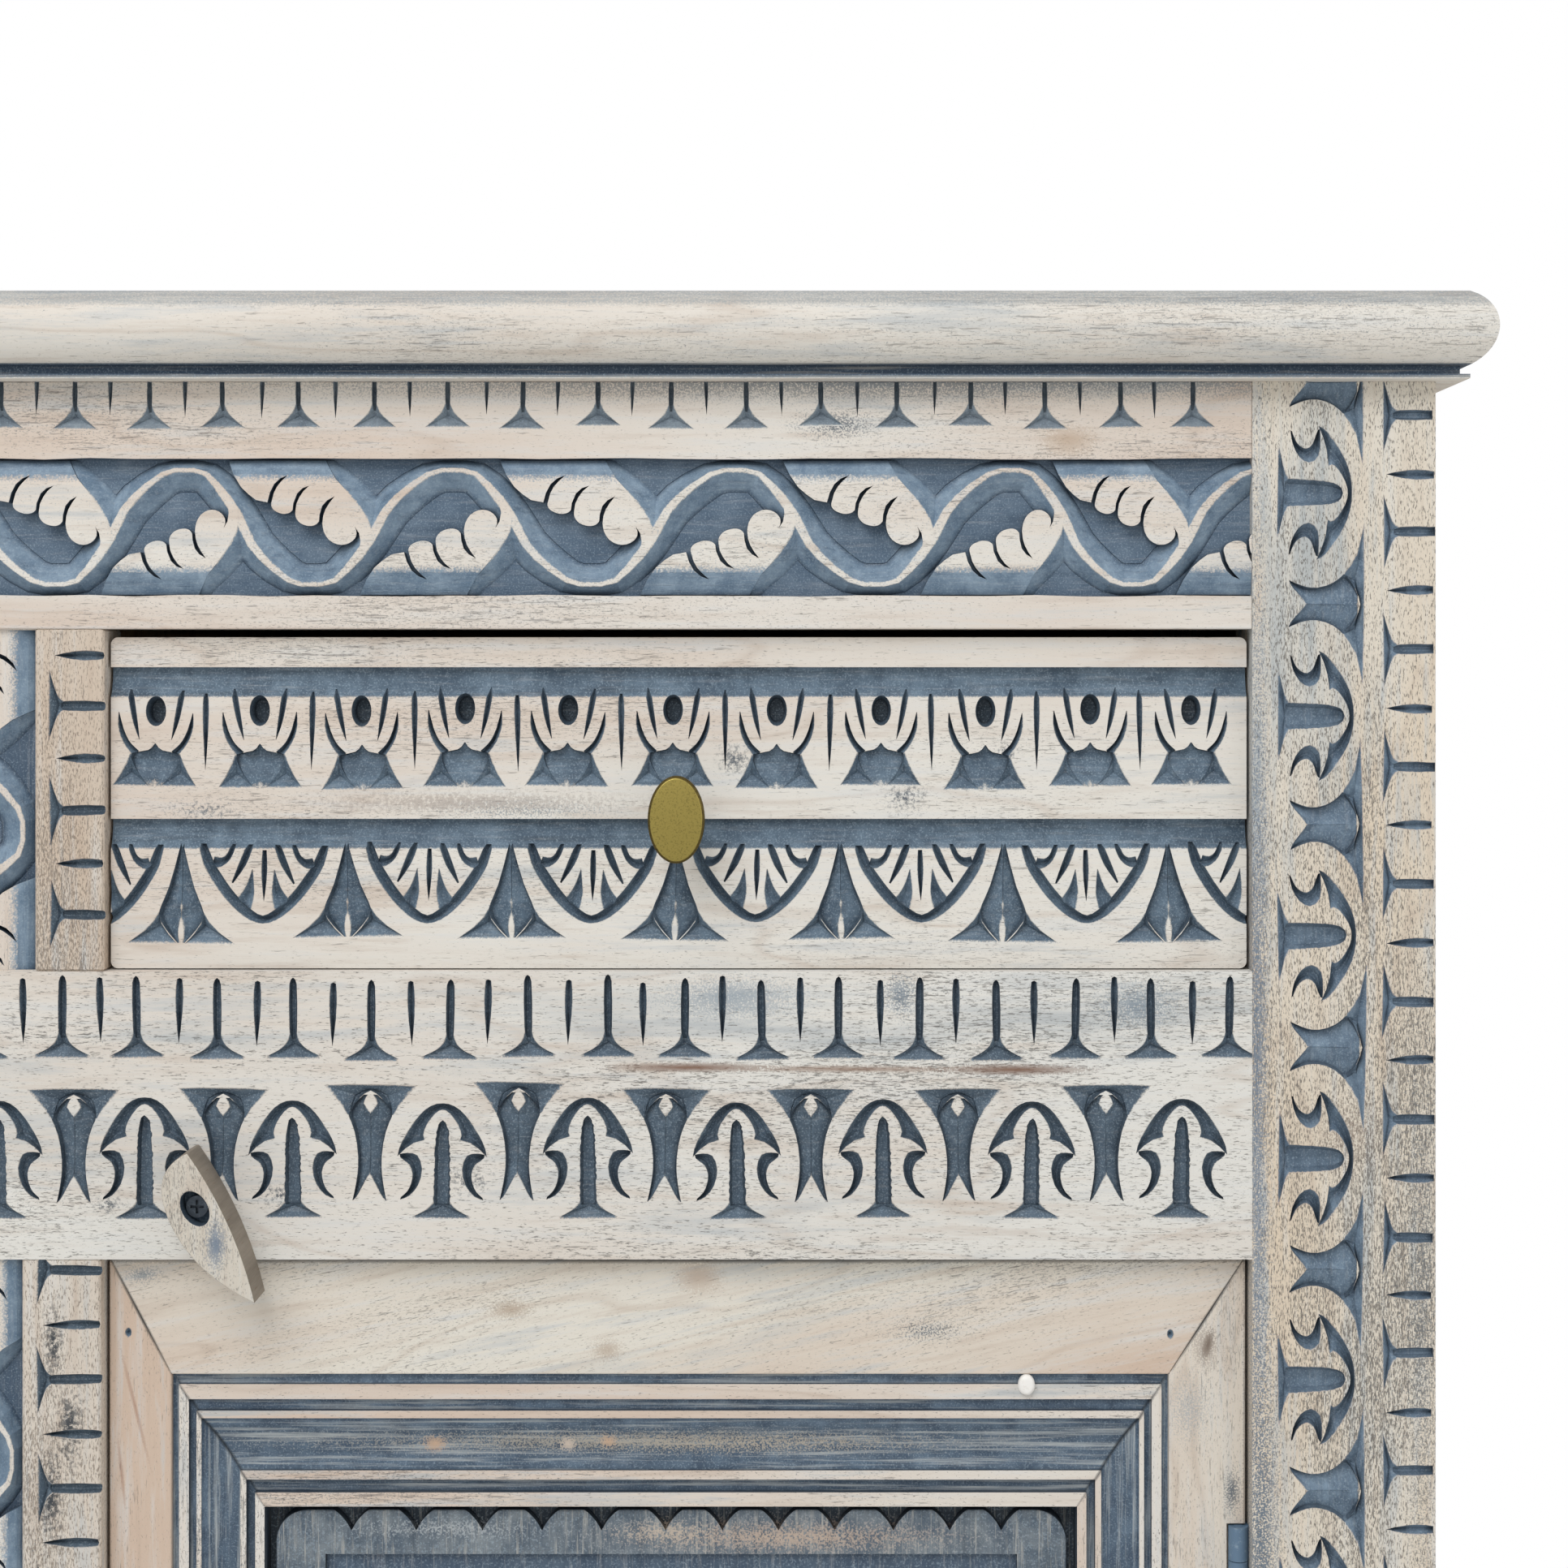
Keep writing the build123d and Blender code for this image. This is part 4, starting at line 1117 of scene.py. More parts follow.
@dataclass(frozen=True)
class Hourglass:
    """The hollow between two T motifs: a ridged body on two legs, under two corner facets and a diamond."""

    depth: float = 2.8
    reach: float = 17.0
    diamond: bool = True

    def cut(self, carving: Carving, place: Place) -> None:
        """Cuts the two facets, then the body. Whole wood stays as the diamond and between the legs.

        Args:
            carving: The board's cuts.
            place: Where the motif's origin stands.
        """
        rim = [(-8.6, 38.0), (-10.2, 40.8), (-13.6, 44.8), (-self.reach, 48.6), (-9.0, 49.0), (0.3, 49.0)]
        lip = [(-7.6, 37.6), (-6.9, 39.4), (-5.6, 41.6), (-3.9, 43.8), (-2.0, 45.6), (0.3, 46.8)]
        for sign, half in HALVES:
            edges = [flipped(line, sign) for line in (rim, lip)]
            carving["facets" + half].channel(place, *edges, self.depth, keel=0.9, floor=0.08, taper=0.3)
        full = self.depth
        island = -0.2 if self.diamond else 1.2
        levels = (
            (45.2, 2.4, full * 0.36, 0.7, min(island, 0.5)),
            (43.6, 4.2, full * 0.7, 1.7, island),
            (42.0, 5.8, full * 0.93, 2.2, island),
            (40.4, 6.9, full, 1.1, island),
            (39.0, 7.9, full, 0.3, max(island, 0.1)),
            (37.2, 7.9, full, 0.2, 1.2),
            (35.0, 6.9, full, 0.2, 1.3),
            (31.5, 5.7, full, 0.2, 1.5),
            (27.2, 4.8, full, 0.2, 1.6),
            (22.4, 4.3, full, 0.2, 1.6),
            (18.6, 4.3, full * 0.93, 0.2, 1.2),
            (16.0, 4.5, full * 0.9, 0.15, 0.3),
            (15.2, 4.6, full * 0.9, 0.4, -0.15),
            (12.4, 5.0, full * 0.8, 1.9, -0.2),
            (9.6, 5.5, full * 0.7, 3.4, -0.2),
            (7.6, 5.9, full * 0.45, 4.6, -0.2),
            (6.4, 6.2, 0.3, 5.7, -0.2),
        )
        carving["bodies"].ridged(place, levels)


@dataclass(frozen=True)
class Vine:
    """A scrolling vine in a sunken band: one wavy rib, and a lobed leaf in each of its hollows.

    Each half wave is drawn about its turning point: the rib's lowest place, with the leaf above it. The next
    half wave is the same turned over.
    """

    half_wave: float = 50.3
    band_half: float = 25.3
    ground: float = 4.8
    crease: float = 5.8

    def spine(self) -> list[tuple[float, float, float, float, float]]:
        """Draws the rib over one half wave.

        Returns:
            Sections of u, v, the half width of the crest, and how far its slopes reach above and below.
        """
        return [
            (-28.4, 4.5, 1.5, 6.0, 6.2),
            (-25.8, -0.6, 1.45, 6.6, 6.2),
            (-22.9, -6.2, 1.3, 7.2, 6.2),
            (-18.8, -11.0, 1.15, 7.6, 6.0),
            (-13.9, -15.4, 0.95, 7.8, 5.4),
            (-8.0, -19.6, 0.75, 7.8, 4.6),
            (-3.0, -21.2, 0.6, 7.8, 4.0),
            (4.2, -21.2, 0.6, 7.8, 4.0),
            (9.2, -19.8, 0.75, 7.6, 4.6),
            (13.4, -15.7, 1.1, 7.2, 5.4),
            (17.6, -10.6, 1.5, 6.6, 6.0),
        ]

    def leaf(self) -> list[Pair]:
        """Draws the leaf.

        Returns:
            Its outline: a pointed lobe, two round ones and a ball, with slits between them.
        """
        lobe_1 = [(-32.6, 25.0), (-30.0, 19.4), (-27.0, 14.9), (-24.0, 12.2), (-21.0, 10.1), (-16.5, 9.2)]
        slit_1 = [(-15.5, 12.8), (-13.8, 16.0), (-11.4, 18.1), (-8.4, 19.3)]
        slit_1 += [(-10.8, 17.1), (-12.6, 15.0), (-13.9, 12.6)]
        lobe_2 = curve([(-14.6, 10.0), (-14.9, 8.0), (-13.6, 6.2), (-10.5, 5.0), (-7.8, 5.3), (-6.4, 6.4)], 3)
        slit_2 = [(-6.1, 8.9), (-4.6, 12.5), (-2.4, 14.5), (0.3, 15.4)]
        slit_2 += [(-2.0, 13.4), (-3.6, 11.2), (-4.8, 8.7)]
        lobe_3 = curve([(-5.2, 6.2), (-5.1, 3.8), (-3.2, 1.5), (0.0, 0.5), (2.4, 0.9), (3.7, 2.2)], 3)
        slit_3 = [(3.9, 4.7), (4.8, 7.9), (6.6, 10.0), (9.3, 11.5), (7.4, 9.0), (6.0, 6.6), (5.2, 4.2)]
        ball = [(4.9, 1.4), (5.4, -1.6), (7.2, -4.6), (10.2, -6.3)]
        ball += [(13.2, -6.3), (15.6, -5.0), (16.9, -3.1), (16.9, -1.2)]
        stalk = [(16.3, 0.4), (17.9, -2.2), (18.4, -5.2), (18.0, -8.5), (16.2, -12.4)]
        stalk += [(20.4, -9.0), (22.5, -5.5), (22.2, -1.6)]
        end = [(21.0, 2.3), (18.9, 5.9), (16.5, 9.5), (13.5, 13.4), (9.6, 17.9), (5.6, 25.0)]
        return lobe_1 + slit_1 + lobe_2 + slit_2 + lobe_3 + slit_3 + curve(ball, 2) + stalk + end

    def relief(self, face: float, turns: Sequence[float], place: Place) -> bpy.types.Object:
        """Builds the rib and the leaves of a whole band.

        Args:
            face: The Y of the board's face.
            turns: Where each half wave's turning point lies along the band; the first one is a low one.
            place: Where the band's own origin goes.

        Returns:
            The relief, which stands in the sunken band.
        """
        leaves, slopes, ribs, stalks = (Shells(face) for _ in range(4))
        crests = [(22.6, -6.0), (22.3, -1.6), (21.1, 2.4), (19.0, 6.0)]
        crests += [(16.6, 9.6), (13.6, 13.5), (9.7, 18.0), (5.6, 24.6)]
        brows = [(25.4, -3.4), (27.6, 2.6), (27.4, 6.6), (26.2, 10.4)]
        brows += [(23.4, 14.4), (19.2, 18.6), (14.4, 22.6), (10.4, 27.0)]
        tops = (0.2, 0.2, 0.2, 0.2, 0.25, 0.4, 1.0, 3.6)
        rings = []
        for i in range(len(turns)):
            warp = self.warp(turns, i)
            leaves.pillar(place, [warp(*point) for point in self.leaf()], 0.15, self.ground + 1)
            for u, v, crest, *falls in self.spine():
                rings.append((*warp(u, v), crest, *(falls if i % 2 == 0 else falls[::-1])))
            sections = [(warp(*crest), warp(*brow), top) for crest, brow, top in zip(crests, brows, tops)]
            stalks.loft(place, [self.flank(*section) for section in sections])
        start, end = turns[0] - 2 * self.half_wave, turns[-1] + 2 * self.half_wave
        for sign, brow in ((1, 16.2), (-1, 13.4)):
            fall = [(brow, -LIFT), (brow, 0.15), (brow + 3.2, 0.5), (brow + 6.4, 1.5)]
            fall += [(25.6, 3.4), (28.0, self.ground), (28.0, -LIFT)]
            slopes.loft(place, [[(u, sign * v, depth) for v, depth in fall] for u in (start, end)])
        ribs.loft(place, self.rib(rings))
        made = leaves.object("leaves")
        combine(made, slopes.object("slopes"), "DIFFERENCE")
        combine(made, stalks.object("stalks"), "UNION")
        combine(made, ribs.object("rib"), "UNION")
        return made

    def warp(self, turns: Sequence[float], i: int) -> Callable[[float, float], Pair]:
        """Fits the half wave's own drawing between its neighbours, turned over for every other one.

        Args:
            turns: Where each half wave's turning point lies.
            i: Which half wave it is.

        Returns:
            The function that takes a point of the drawing to the band.
        """
        before = turns[i] - turns[i - 1] if i else self.half_wave
        after = turns[i + 1] - turns[i] if i + 1 < len(turns) else self.half_wave
        turned = 1 if i % 2 == 0 else -1

        def place(u: float, v: float) -> Pair:
            """Takes one point to the band."""
            return (turns[i] + u * (before if u < 0 else after) / self.half_wave, v * turned)

        return place

    def flank(self, crest: Pair, brow: Pair, top: float) -> list[Spot3]:
        """One section of the stalk's own slope, which falls from the leaf's edge to its crease.

        Args:
            crest: Where it meets the leaf.
            brow: Where it meets the ground.
            top: The depth of its crest.

        Returns:
            The section's four points.
        """
        foot = self.ground + 1
        inside = (crest[0] + 0.25 * (crest[0] - brow[0]), crest[1] + 0.25 * (crest[1] - brow[1]))
        return [(*inside, foot), (*inside, top), (*crest, top), (*brow, foot)]

    def rib(self, rings: Sequence[Sequence[float]]) -> list[list[Spot3]]:
        """Gives the rib its sections: a narrow crest with a slope on each side.

        Args:
            rings: For each section u, v, the crest's half width, and how far its slopes reach.

        Returns:
            The rings of the rib's shell.
        """
        foot = self.ground + 0.6
        sections = []
        for i, (u, v, crest, above, below) in enumerate(rings):
            before, after = rings[max(0, i - 1)], rings[min(len(rings) - 1, i + 1)]
            ahead = Vector((after[0] - before[0], after[1] - before[1])).normalized()
            side = Vector((-ahead.y, ahead.x))
            stops = [(above + crest, foot), (crest, 0.2), (-crest, 0.2), (-below - crest, foot)]
            sections.append([(u + side.x * s, v + side.y * s, d) for s, d in stops])
        return sections

    def creases(self, carving: Carving, turns: Sequence[float], place: Place) -> None:
        """Cuts the crease that runs in the ground along each foot of the rib's slopes, deep enough to take
        the painted depth shade.

        Args:
            carving: The board's cuts.
            turns: Where each half wave's turning point lies.
            place: Where the band's own origin goes.
        """
        spots = []
        for i in range(len(turns)):
            warp = self.warp(turns, i)
            for u, v, crest, above, below in self.spine():
                sides = (above, below) if i % 2 == 0 else (below, above)
                spots.append((*warp(u, v), crest + sides[0] - 0.8, -crest - sides[1] + 0.8))
        for side in (2, 3):
            pieces: list[list[list[Spot3]]] = [[]]
            for before, spot, after in zip(spots, spots[1:], spots[2:]):
                ahead = Vector((after[0] - before[0], after[1] - before[1])).normalized()
                across = (spot[side] + 1, spot[side], spot[side] - 1)
                line = [(spot[0] - ahead.y * s, spot[1] + ahead.x * s) for s in across]
                if max(abs(v) for u, v in line) > self.band_half - 0.7:
                    pieces.append([])
                    continue
                depths = (self.ground - 0.8, self.crease, self.ground - 0.8)
                pieces[-1].append([(u, v, depth) for (u, v), depth in zip(line, depths)])
            for k, rings in enumerate(piece for piece in pieces if len(piece) > 1):
                carving[f"creases_{side}_{k % 2}"].loft(place, rings)


@dataclass(frozen=True)
class Lotus:
    """A lotus cup on a spreading foot: a drilled hole between two ticks, in a cup of two lobes."""

    depth: float = 3.0

    def cut(self, carving: Carving, place: Place) -> None:
        """Cuts the motif.

        Args:
            carving: The board's cuts.
            place: Where the middle of the hole stands.
        """
        hole = oval(3.7, 5.8, 20)
        levels = ((1.0, -LIFT), (1.0, 0.0), (0.7, 6.0))
        rings = [[(u * size, v * size, depth) for u, v in hole] for size, depth in levels]
        carving["holes"].loft(place, rings)
        left = [(-10.7, 8.0), (-9.9, 3.6), (-8.9, -1.8), (-7.6, -6.4), (-5.9, -10.8)]
        right = [(-8.2, 8.0), (-7.6, 3.6), (-6.8, -1.8), (-6.2, -6.4), (-5.7, -10.8)]
        outer = [(-13.5, -0.6), (-13.7, -5.4), (-12.6, -10.0), (-10.6, -13.8), (-8.0, -17.2)]
        inner = [(-13.2, -0.6), (-11.5, -7.0), (-9.6, -11.2), (-7.8, -13.4), (-5.8, -15.2)]
        corner = [(8.9, -15.6), (10.3, -19.4), (12.4, -23.8), (15.4, -28.6)]
        corner += [(1.8, -28.6), (4.4, -24.8), (6.4, -20.4)]
        for sign, half in HALVES:
            grooves = (
                ("ticks", left, right, 2.2, 0.5),
                ("crescents" + half, outer, inner, self.depth * 0.9, 0.8),
            )
            for name, first, second, depth, keel in grooves:
                edges = [curve(flipped(line, sign), 2) for line in (first, second)]
                carving[name].channel(place, *edges, depth, keel=keel, floor=0.2, taper=0.6)
            carving["corners" + half].chip(place, flipped(corner, sign), (8.9 * sign, -23.4), self.depth)
        cup = (
            (-12.3, 0.2, 0.16, 0.3),
            (-13.8, 1.2, 0.66, 0.5),
            (-14.8, 2.6, 0.95, 0.5),
            (-15.4, 5.4, 1.0, 0.6),
            (-16.0, 8.6, 1.0, 0.6),
            (-18.4, 8.9, 0.9, 0.5),
            (-21.0, 8.1, 0.78, 0.4),
            (-23.4, 6.8, 0.5, 0.4),
            (-25.6, 5.0, 0.26, 0.4),
            (-27.6, 3.0, 0.12, 0.4),
            (-28.6, 1.2, 0.06, 0.4),
        )
        full = self.depth
        levels = [(v, wide, full * share, wide * core, full * share) for v, wide, share, core in cup]
        carving["cups"].ridged(place, levels)


@dataclass(frozen=True)
class Fan:
    """A fan of petals in a looped groove, beside a tent with a flame. The origin is the cove's lower edge."""

    depth: float = 3.0
    pitch: float = 61.1

    def groove(self, carving: Carving, place: Place) -> None:
        """Cuts the loop of one fan, the slits between its petals and their ticks.

        Args:
            carving: The board's cuts.
            place: Where the fan's origin stands.
        """
        outer = [(-24.4, 2.0), (-22.6, -5.4), (-19.4, -11.4), (-14.9, -17.8)]
        outer += [(-10.0, -23.0), (-5.0, -26.6), (0.0, -28.0)]
        inner = [(-21.2, 2.0), (-18.4, -4.8), (-15.3, -9.8), (-11.8, -14.8)]
        inner += [(-7.8, -19.4), (-3.9, -22.8), (0.0, -24.8)]
        loop = [curve(line + flipped(line[-2::-1]), 2) for line in (outer, inner)]
        carving["loops"].channel(place, *loop, self.depth, keel=0.6, floor=0.25, taper=0.6)
        middle = replace(place, v=place.v - 19.4 * place.tall)
        PlainTick(19.8, 1.15, 0.6, 2.2, False).cut(carving["petals"], middle)
        petals = {
            "curls": (
                [(19.6, -7.0), (16.0, -6.8), (12.4, -3.8), (10.0, 2.0)],
                [(18.2, -2.6), (15.6, -3.0), (13.6, -1.4), (12.4, 2.0)],
            ),
            "ticks": ([(3.6, 2.0), (6.4, -5.6), (11.2, -12.8)], [(6.4, 2.0), (9.4, -5.6), (11.8, -12.4)]),
            "slits": (
                [(3.9, -7.4), (3.4, -12.4), (3.2, -17.0), (4.2, -22.6)],
                [(4.3, -7.4), (5.9, -12.2), (7.6, -15.6), (10.4, -19.0)],
            ),
        }
        for name, lines in petals.items():
            for sign in (1, -1):
                edges = [curve(flipped(line, sign), 3) for line in lines]
                carving[name].channel(place, *edges, 2.5, floor=0.25, taper=0.6)

    def tent(self, carving: Carving, place: Place) -> None:
        """Cuts the tent between two fans: a ridged hollow with a flame of whole wood, on two corner facets.

        Args:
            carving: The board's cuts.
            place: Where the tent's origin stands.
        """
        full = self.depth
        levels = (
            (4.0, 0.5, full * 0.4, 0.1, 0.5),
            (0.0, 0.9, full * 0.5, 0.1, 0.8),
            (-6.6, 2.6, full * 0.8, 0.15, 1.5),
            (-14.1, 4.8, full, 0.1, 1.5),
            (-18.0, 6.4, full, 0.1, 0.8),
            (-21.0, 7.7, full, 0.1, 0.1),
            (-24.2, 8.8, full, 0.15, 0.5),
            (-27.0, 7.6, full, 0.3, -0.1),
            (-29.8, 5.6, full * 0.9, 0.75, -0.2),
            (-32.2, 3.5, full * 0.6, 0.75, -0.2),
            (-34.4, 1.4, 0.4, 0.3, -0.2),
        )
        corner = [(8.4, -23.0), (10.6, -26.6), (14.6, -30.6), (20.6, -34.8)]
        corner += [(1.4, -34.8), (4.6, -31.4), (7.4, -27.4)]
        for sign, half in HALVES:
            carving["corners" + half].chip(place, flipped(corner, sign), (8.6 * sign, -28.4), full)
        carving["tents"].ridged(place, levels)


# ------------------------------------------------------------------ sub-assemblies
@dataclass
class Case:
    """The fixed frame: top, posts, rails, stiles, sides and back.

    A drop is measured down from the top of the board that carries the motif.
    """

    shop: Workshop
    face: float = field(default_factory=lambda: face_of("frieze_rail"))
    frieze_tick_pitch: float = 27.6
    frieze_tick_drop: float = 17.2
    frieze_tick_last: float = 458.4
    frieze_plain_drop: float = 12.8
    vine_band_drops: Pair = (28.6, 79.2)
    vine_first_turn: float = 36.6
    rail_tick_pitch: float = 28.8
    rail_tick_drop: float = 32.7
    rail_plain_drop: float = 26.9
    t_pitch: float = 54.6
    t_drop: float = 91.5
    t_first: float = 16.6
    post_pitch: float = 81.9
    post_drop: float = 41.4
    post_t_base: float = 489.6
    column_pitch: float = 43.4
    column_drop: float = 12.3
    column_tick_base: float = 528.3
    column_lens_base: float = 529.6
    panel_rebate: float = 0.4

    def build(self) -> None:
        """Makes every fixed board."""
        self.frieze()
        self.drawer_rail()
        for side in Side:
            self.post(side)
            self.stile(side, "upper_stile", 28.8, 38.4, 747)
            self.stile(side, "lower_stile", 3.9, 40.4, 539)
        self.centre_panel("upper_carved_panel", 5)
        self.centre_panel("lower_carved_panel", 11)
        self.plain_boards()

    def frieze(self) -> None:
        """The rail under the top: a row of ticks above the vine."""
        low, high = box_of("frieze_rail")
        rail_top = top_of("frieze_rail")
        carving = Carving(self.face)
        chance = random.Random(3)
        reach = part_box("frieze_rail")[1].z / MM - (rail_top - self.frieze_tick_drop) + 1.2
        tick = FootedTick(reach=8.6, foot_height=9.4, stem_top=reach, stem_half=0.95, depth=2.8, hollow=0.7)
        plain = PlainTick(15.0, 1.0, 0.9, 1.8, False)
        u = self.frieze_tick_last
        while u >= low.x + 10:
            tick.cut(carving, Place(u, rail_top - self.frieze_tick_drop).by_hand(chance, 0.7))
            between = Place(u - self.frieze_tick_pitch / 2, rail_top - self.frieze_plain_drop)
            plain.cut(carving["plain"], between.by_hand(chance, 0.8))
            u -= self.frieze_tick_pitch
        edge_u = [low.x + (high.x - low.x) * i / 60 for i in range(61)]
        top, foot = (rail_top - drop for drop in self.vine_band_drops)
        rim = [(u, top + chance.uniform(-0.35, 0.35)) for u in edge_u]
        rim += [(u, foot + chance.uniform(-0.35, 0.35)) for u in edge_u[::-1]]
        vine = Vine()
        carving["band"].pocket(Place(0, 0), rim, vine.ground)
        turns = self.vine_turns(low.x, high.x)
        middle = Place(0, (top + foot) / 2)
        vine.creases(carving, turns, middle)
        made = cad_copy("frieze_rail", "frieze_rail_carved")
        ease(made, 0.4)
        carving.cut(made)
        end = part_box("front_post_right")[0].x / MM - 0.1
        self.lay_vine(made, vine, turns, middle, corners((-end, end), (top - 0.4, foot + 0.4)), self.face)
        mark(made, self.face, 0.1)
        for polygon in made.data.polygons:
            if polygon.material_index and foot - 0.8 < polygon.center.z / MM < top + 1.0:
                polygon.material_index = 2
        marks = (
            Stain(350, 869, 460, 13, "#737C84", 0.85, 1.0),
            Stain(326, 852, 26, 9, "#4E5A66", 0.85, 0.8),
            Stain(412, 846, 16, 9, "#B49A80", 0.6, 1.6),
            Stain(-250, 868, 300, 12, "#737C84", 0.8, 1.0),
        )
        ticked = {"blue": "#65727E", "blue_pale": "#8D9AA4", "shade": 0.32}
        materials = [
            self.shop.washed(Grain.X, tag="_frieze", stains=marks, cream="#DFDAD2"),
            self.shop.washed(Grain.X, Wash.CARVED, "_frieze", **ticked),
            self.shop.washed(Grain.X, Wash.CARVED, "_vine", **VINE_BLUES),
        ]
        self.shop.done(made, "frieze_rail", materials)

    @staticmethod
    def lay_vine(
        made: bpy.types.Object,
        vine: Vine,
        turns: Sequence[float],
        place: Place,
        rim: Sequence[Pair],
        face: float,
    ) -> None:
        """Sets the vine's rib and leaves into a board's sunken band.

        Args:
            made: The board.
            vine: The vine.
            turns: Where it turns.
            place: Where the band's own origin goes.
            rim: The outline that it is trimmed to.
            face: The Y of the board's face.
        """
        relief = vine.relief(face, turns, place)
        room = Shells(face)
        room.pillar(Place(0, 0), rim, -1, vine.ground + 3.4)
        combine(relief, room.object("room"), "INTERSECT")
        combine(made, relief, "UNION")

    def vine_turns(self, low: float, high: float) -> list[float]:
        """Spaces the frieze's vine with the listed uneven gaps, as by hand.

        Args:
            low: The low end of its band.
            high: The high end of its band.

        Returns:
            Where each of its half waves turns.
        """
        gaps = (48.0, 46.5, 52.5, 51.0, 53.7, 51.3, 51.0, 44.4, 49.0, 50.0)
        turns = [self.vine_first_turn]
        for gap in (gaps * 3)[: int((high - turns[0]) / 50) + 1]:
            turns.append(turns[-1] + gap)
        count = 2 * (int((self.vine_first_turn - low) / 100) + 1)
        for gap in (gaps[::-1] * 3)[:count]:
            turns.insert(0, turns[0] - gap)
        return turns

    def drawer_rail(self) -> None:
        """The rail between drawers and doors: a row of ticks above a row of T motifs."""
        carving = Carving(self.face)
        chance = random.Random(5)
        end, top = box_of("drawer_rail")[1].x, top_of("drawer_rail")
        tick = FootedTick(reach=10.4, foot_height=10.4, stem_top=30.2, stem_half=1.5, blunt=1.0, pointed=True)
        plain = PlainTick(24.0, 1.5, 0.68, 2.2)
        for i in range(-16, 17):
            u = i * self.rail_tick_pitch + 10.8
            tick.cut(carving, Place(u, top - self.rail_tick_drop).by_hand(chance, 0.8))
            if abs(u + self.rail_tick_pitch / 2) < end - 6:
                between = Place(u + self.rail_tick_pitch / 2, top - self.rail_plain_drop)
                plain.cut(carving["plain"], between.by_hand(chance, 0.8))
        for i in range(-8, 9):
            u = self.t_first + i * self.t_pitch
            if abs(u) + 17 < end:
                CappedStem().cut(carving, Place(u, top - self.t_drop).by_hand(chance, 0.6), chance)
            if abs(u + self.t_pitch / 2) + 20 < end:
                between = Place(u + self.t_pitch / 2, top - self.t_drop)
                Hourglass().cut(carving, between.by_hand(chance, 0.5))
        blot = {"colour": "#3F4B57", "strength": 0.9, "blotched": True}
        marks = (
            Stain(272, 614.4, 42, 2.6, "#7D5F4E", 0.95, 2.4),
            Stain(330, 613.8, 60, 2.2, "#8A6E5C", 0.75, 1.8),
            Stain(392, 613.6, 40, 3.0, "#7D5F4E", 0.95, 2.2),
            Stain(287, 640, 44, 13, "#8E9BA6", 0.75, 1.1),
            Stain(350, 641, 11, 14, "#6C7B89", 0.8, 1.0),
            Stain(438, 637, 27, 15, "#7F8D99", 0.8, 1.0),
            Stain(121, 567, 15, 9, specks=0.62, **blot),
            Stain(57, 564, 12, 7, specks=0.55, **blot),
            Stain(190, 573, 16, 10, specks=0.55, **blot),
            Stain(318, 577, 14, 12, specks=0.55, **blot),
            Stain(-150, 570, 60, 9, specks=0.45, **(blot | {"strength": 0.8})),
        )
        dry = {"cream": "#DFDDD7", "beige": "#D2C4B6", "fleck": "#57544F", "flecks": 0.7}
        materials = [
            self.shop.washed(Grain.X, tag="_rail", stains=marks, coarse=0.045, fleck_length=6.0, **dry),
            self.shop.washed(Grain.X, Wash.CARVED, "_rail", blue="#42515F", blue_pale="#5C6E7E", shade=0.68),
        ]
        self.shop.board("drawer_rail", Grain.X, self.face, carving, materials=materials, warmth=-0.1)

    def post(self, side: Side) -> None:
        """Makes a front post: a column of T motifs lying on their sides, and a column of ticks at its edge.

        Args:
            side: The bay that it ends.
        """
        name, sign = f"front_post_{side.word}", side.value
        top = top_of(name)
        carving = Carving(self.face)
        chance = random.Random(7 + sign)
        stretch = {"turn": -90.0 * sign, "wide": 1.46, "tall": 0.645}
        motif = CappedStem(foot_reach=11.8, stem_top=38.6, stem_half=3.5, foot_height=10.4, rough=0.25)
        glass = Hourglass(reach=21.6, diamond=False)
        u = sign * self.post_t_base
        glass.cut(carving, Place(u, top - self.post_drop + self.post_pitch / 2, **stretch))
        for i in range(10):
            v = top - self.post_drop - i * self.post_pitch
            motif.cut(carving, Place(u, v, **stretch).by_hand(chance, 0.5), chance)
            glass.cut(carving, Place(u, v - self.post_pitch / 2, **stretch).by_hand(chance, 0.4))
        tick = FootedTick(reach=14.4, foot_height=6.0, stem_top=18.8, stem_half=1.9, depth=2.8)
        lens = PlainTick(17.6, 1.95, 0.62, 2.2, False)
        for i in range(20):
            v = top - self.column_drop - i * self.column_pitch
            if v > 20:
                tick.cut(carving, Place(sign * self.column_tick_base, v, -90.0 * sign).by_hand(chance, 0.3))
            if v > 32:
                between = Place(sign * self.column_lens_base, v - self.column_pitch / 2, -90.0 * sign)
                lens.cut(carving["plain"], between.by_hand(chance, 0.3))
        marks = (
            Stain(sign * 482, 600, 8, 430, "#6F8093", 0.8, 0.9),
            Stain(sign * 484, 440, 12, 130, "#5E6E7E", 0.85, 0.85),
            Stain(sign * 543, 520, 12, 230, "#6B7176", 0.7, 0.7),
            Stain(sign * 515, 590, 24, 30, "#8A7667", 0.5, 0.8),
        )
        materials = [
            self.shop.washed(Grain.Z, tag=f"_post_{side.word}", stains=marks, **WEATHERED),
            self.shop.washed(Grain.Z, Wash.CARVED, "_post", blue="#55687B", blue_pale="#7D92A5", shade=0.75),
        ]
        self.shop.board(name, Grain.Z, self.face, carving, materials=materials, warmth=0.5)

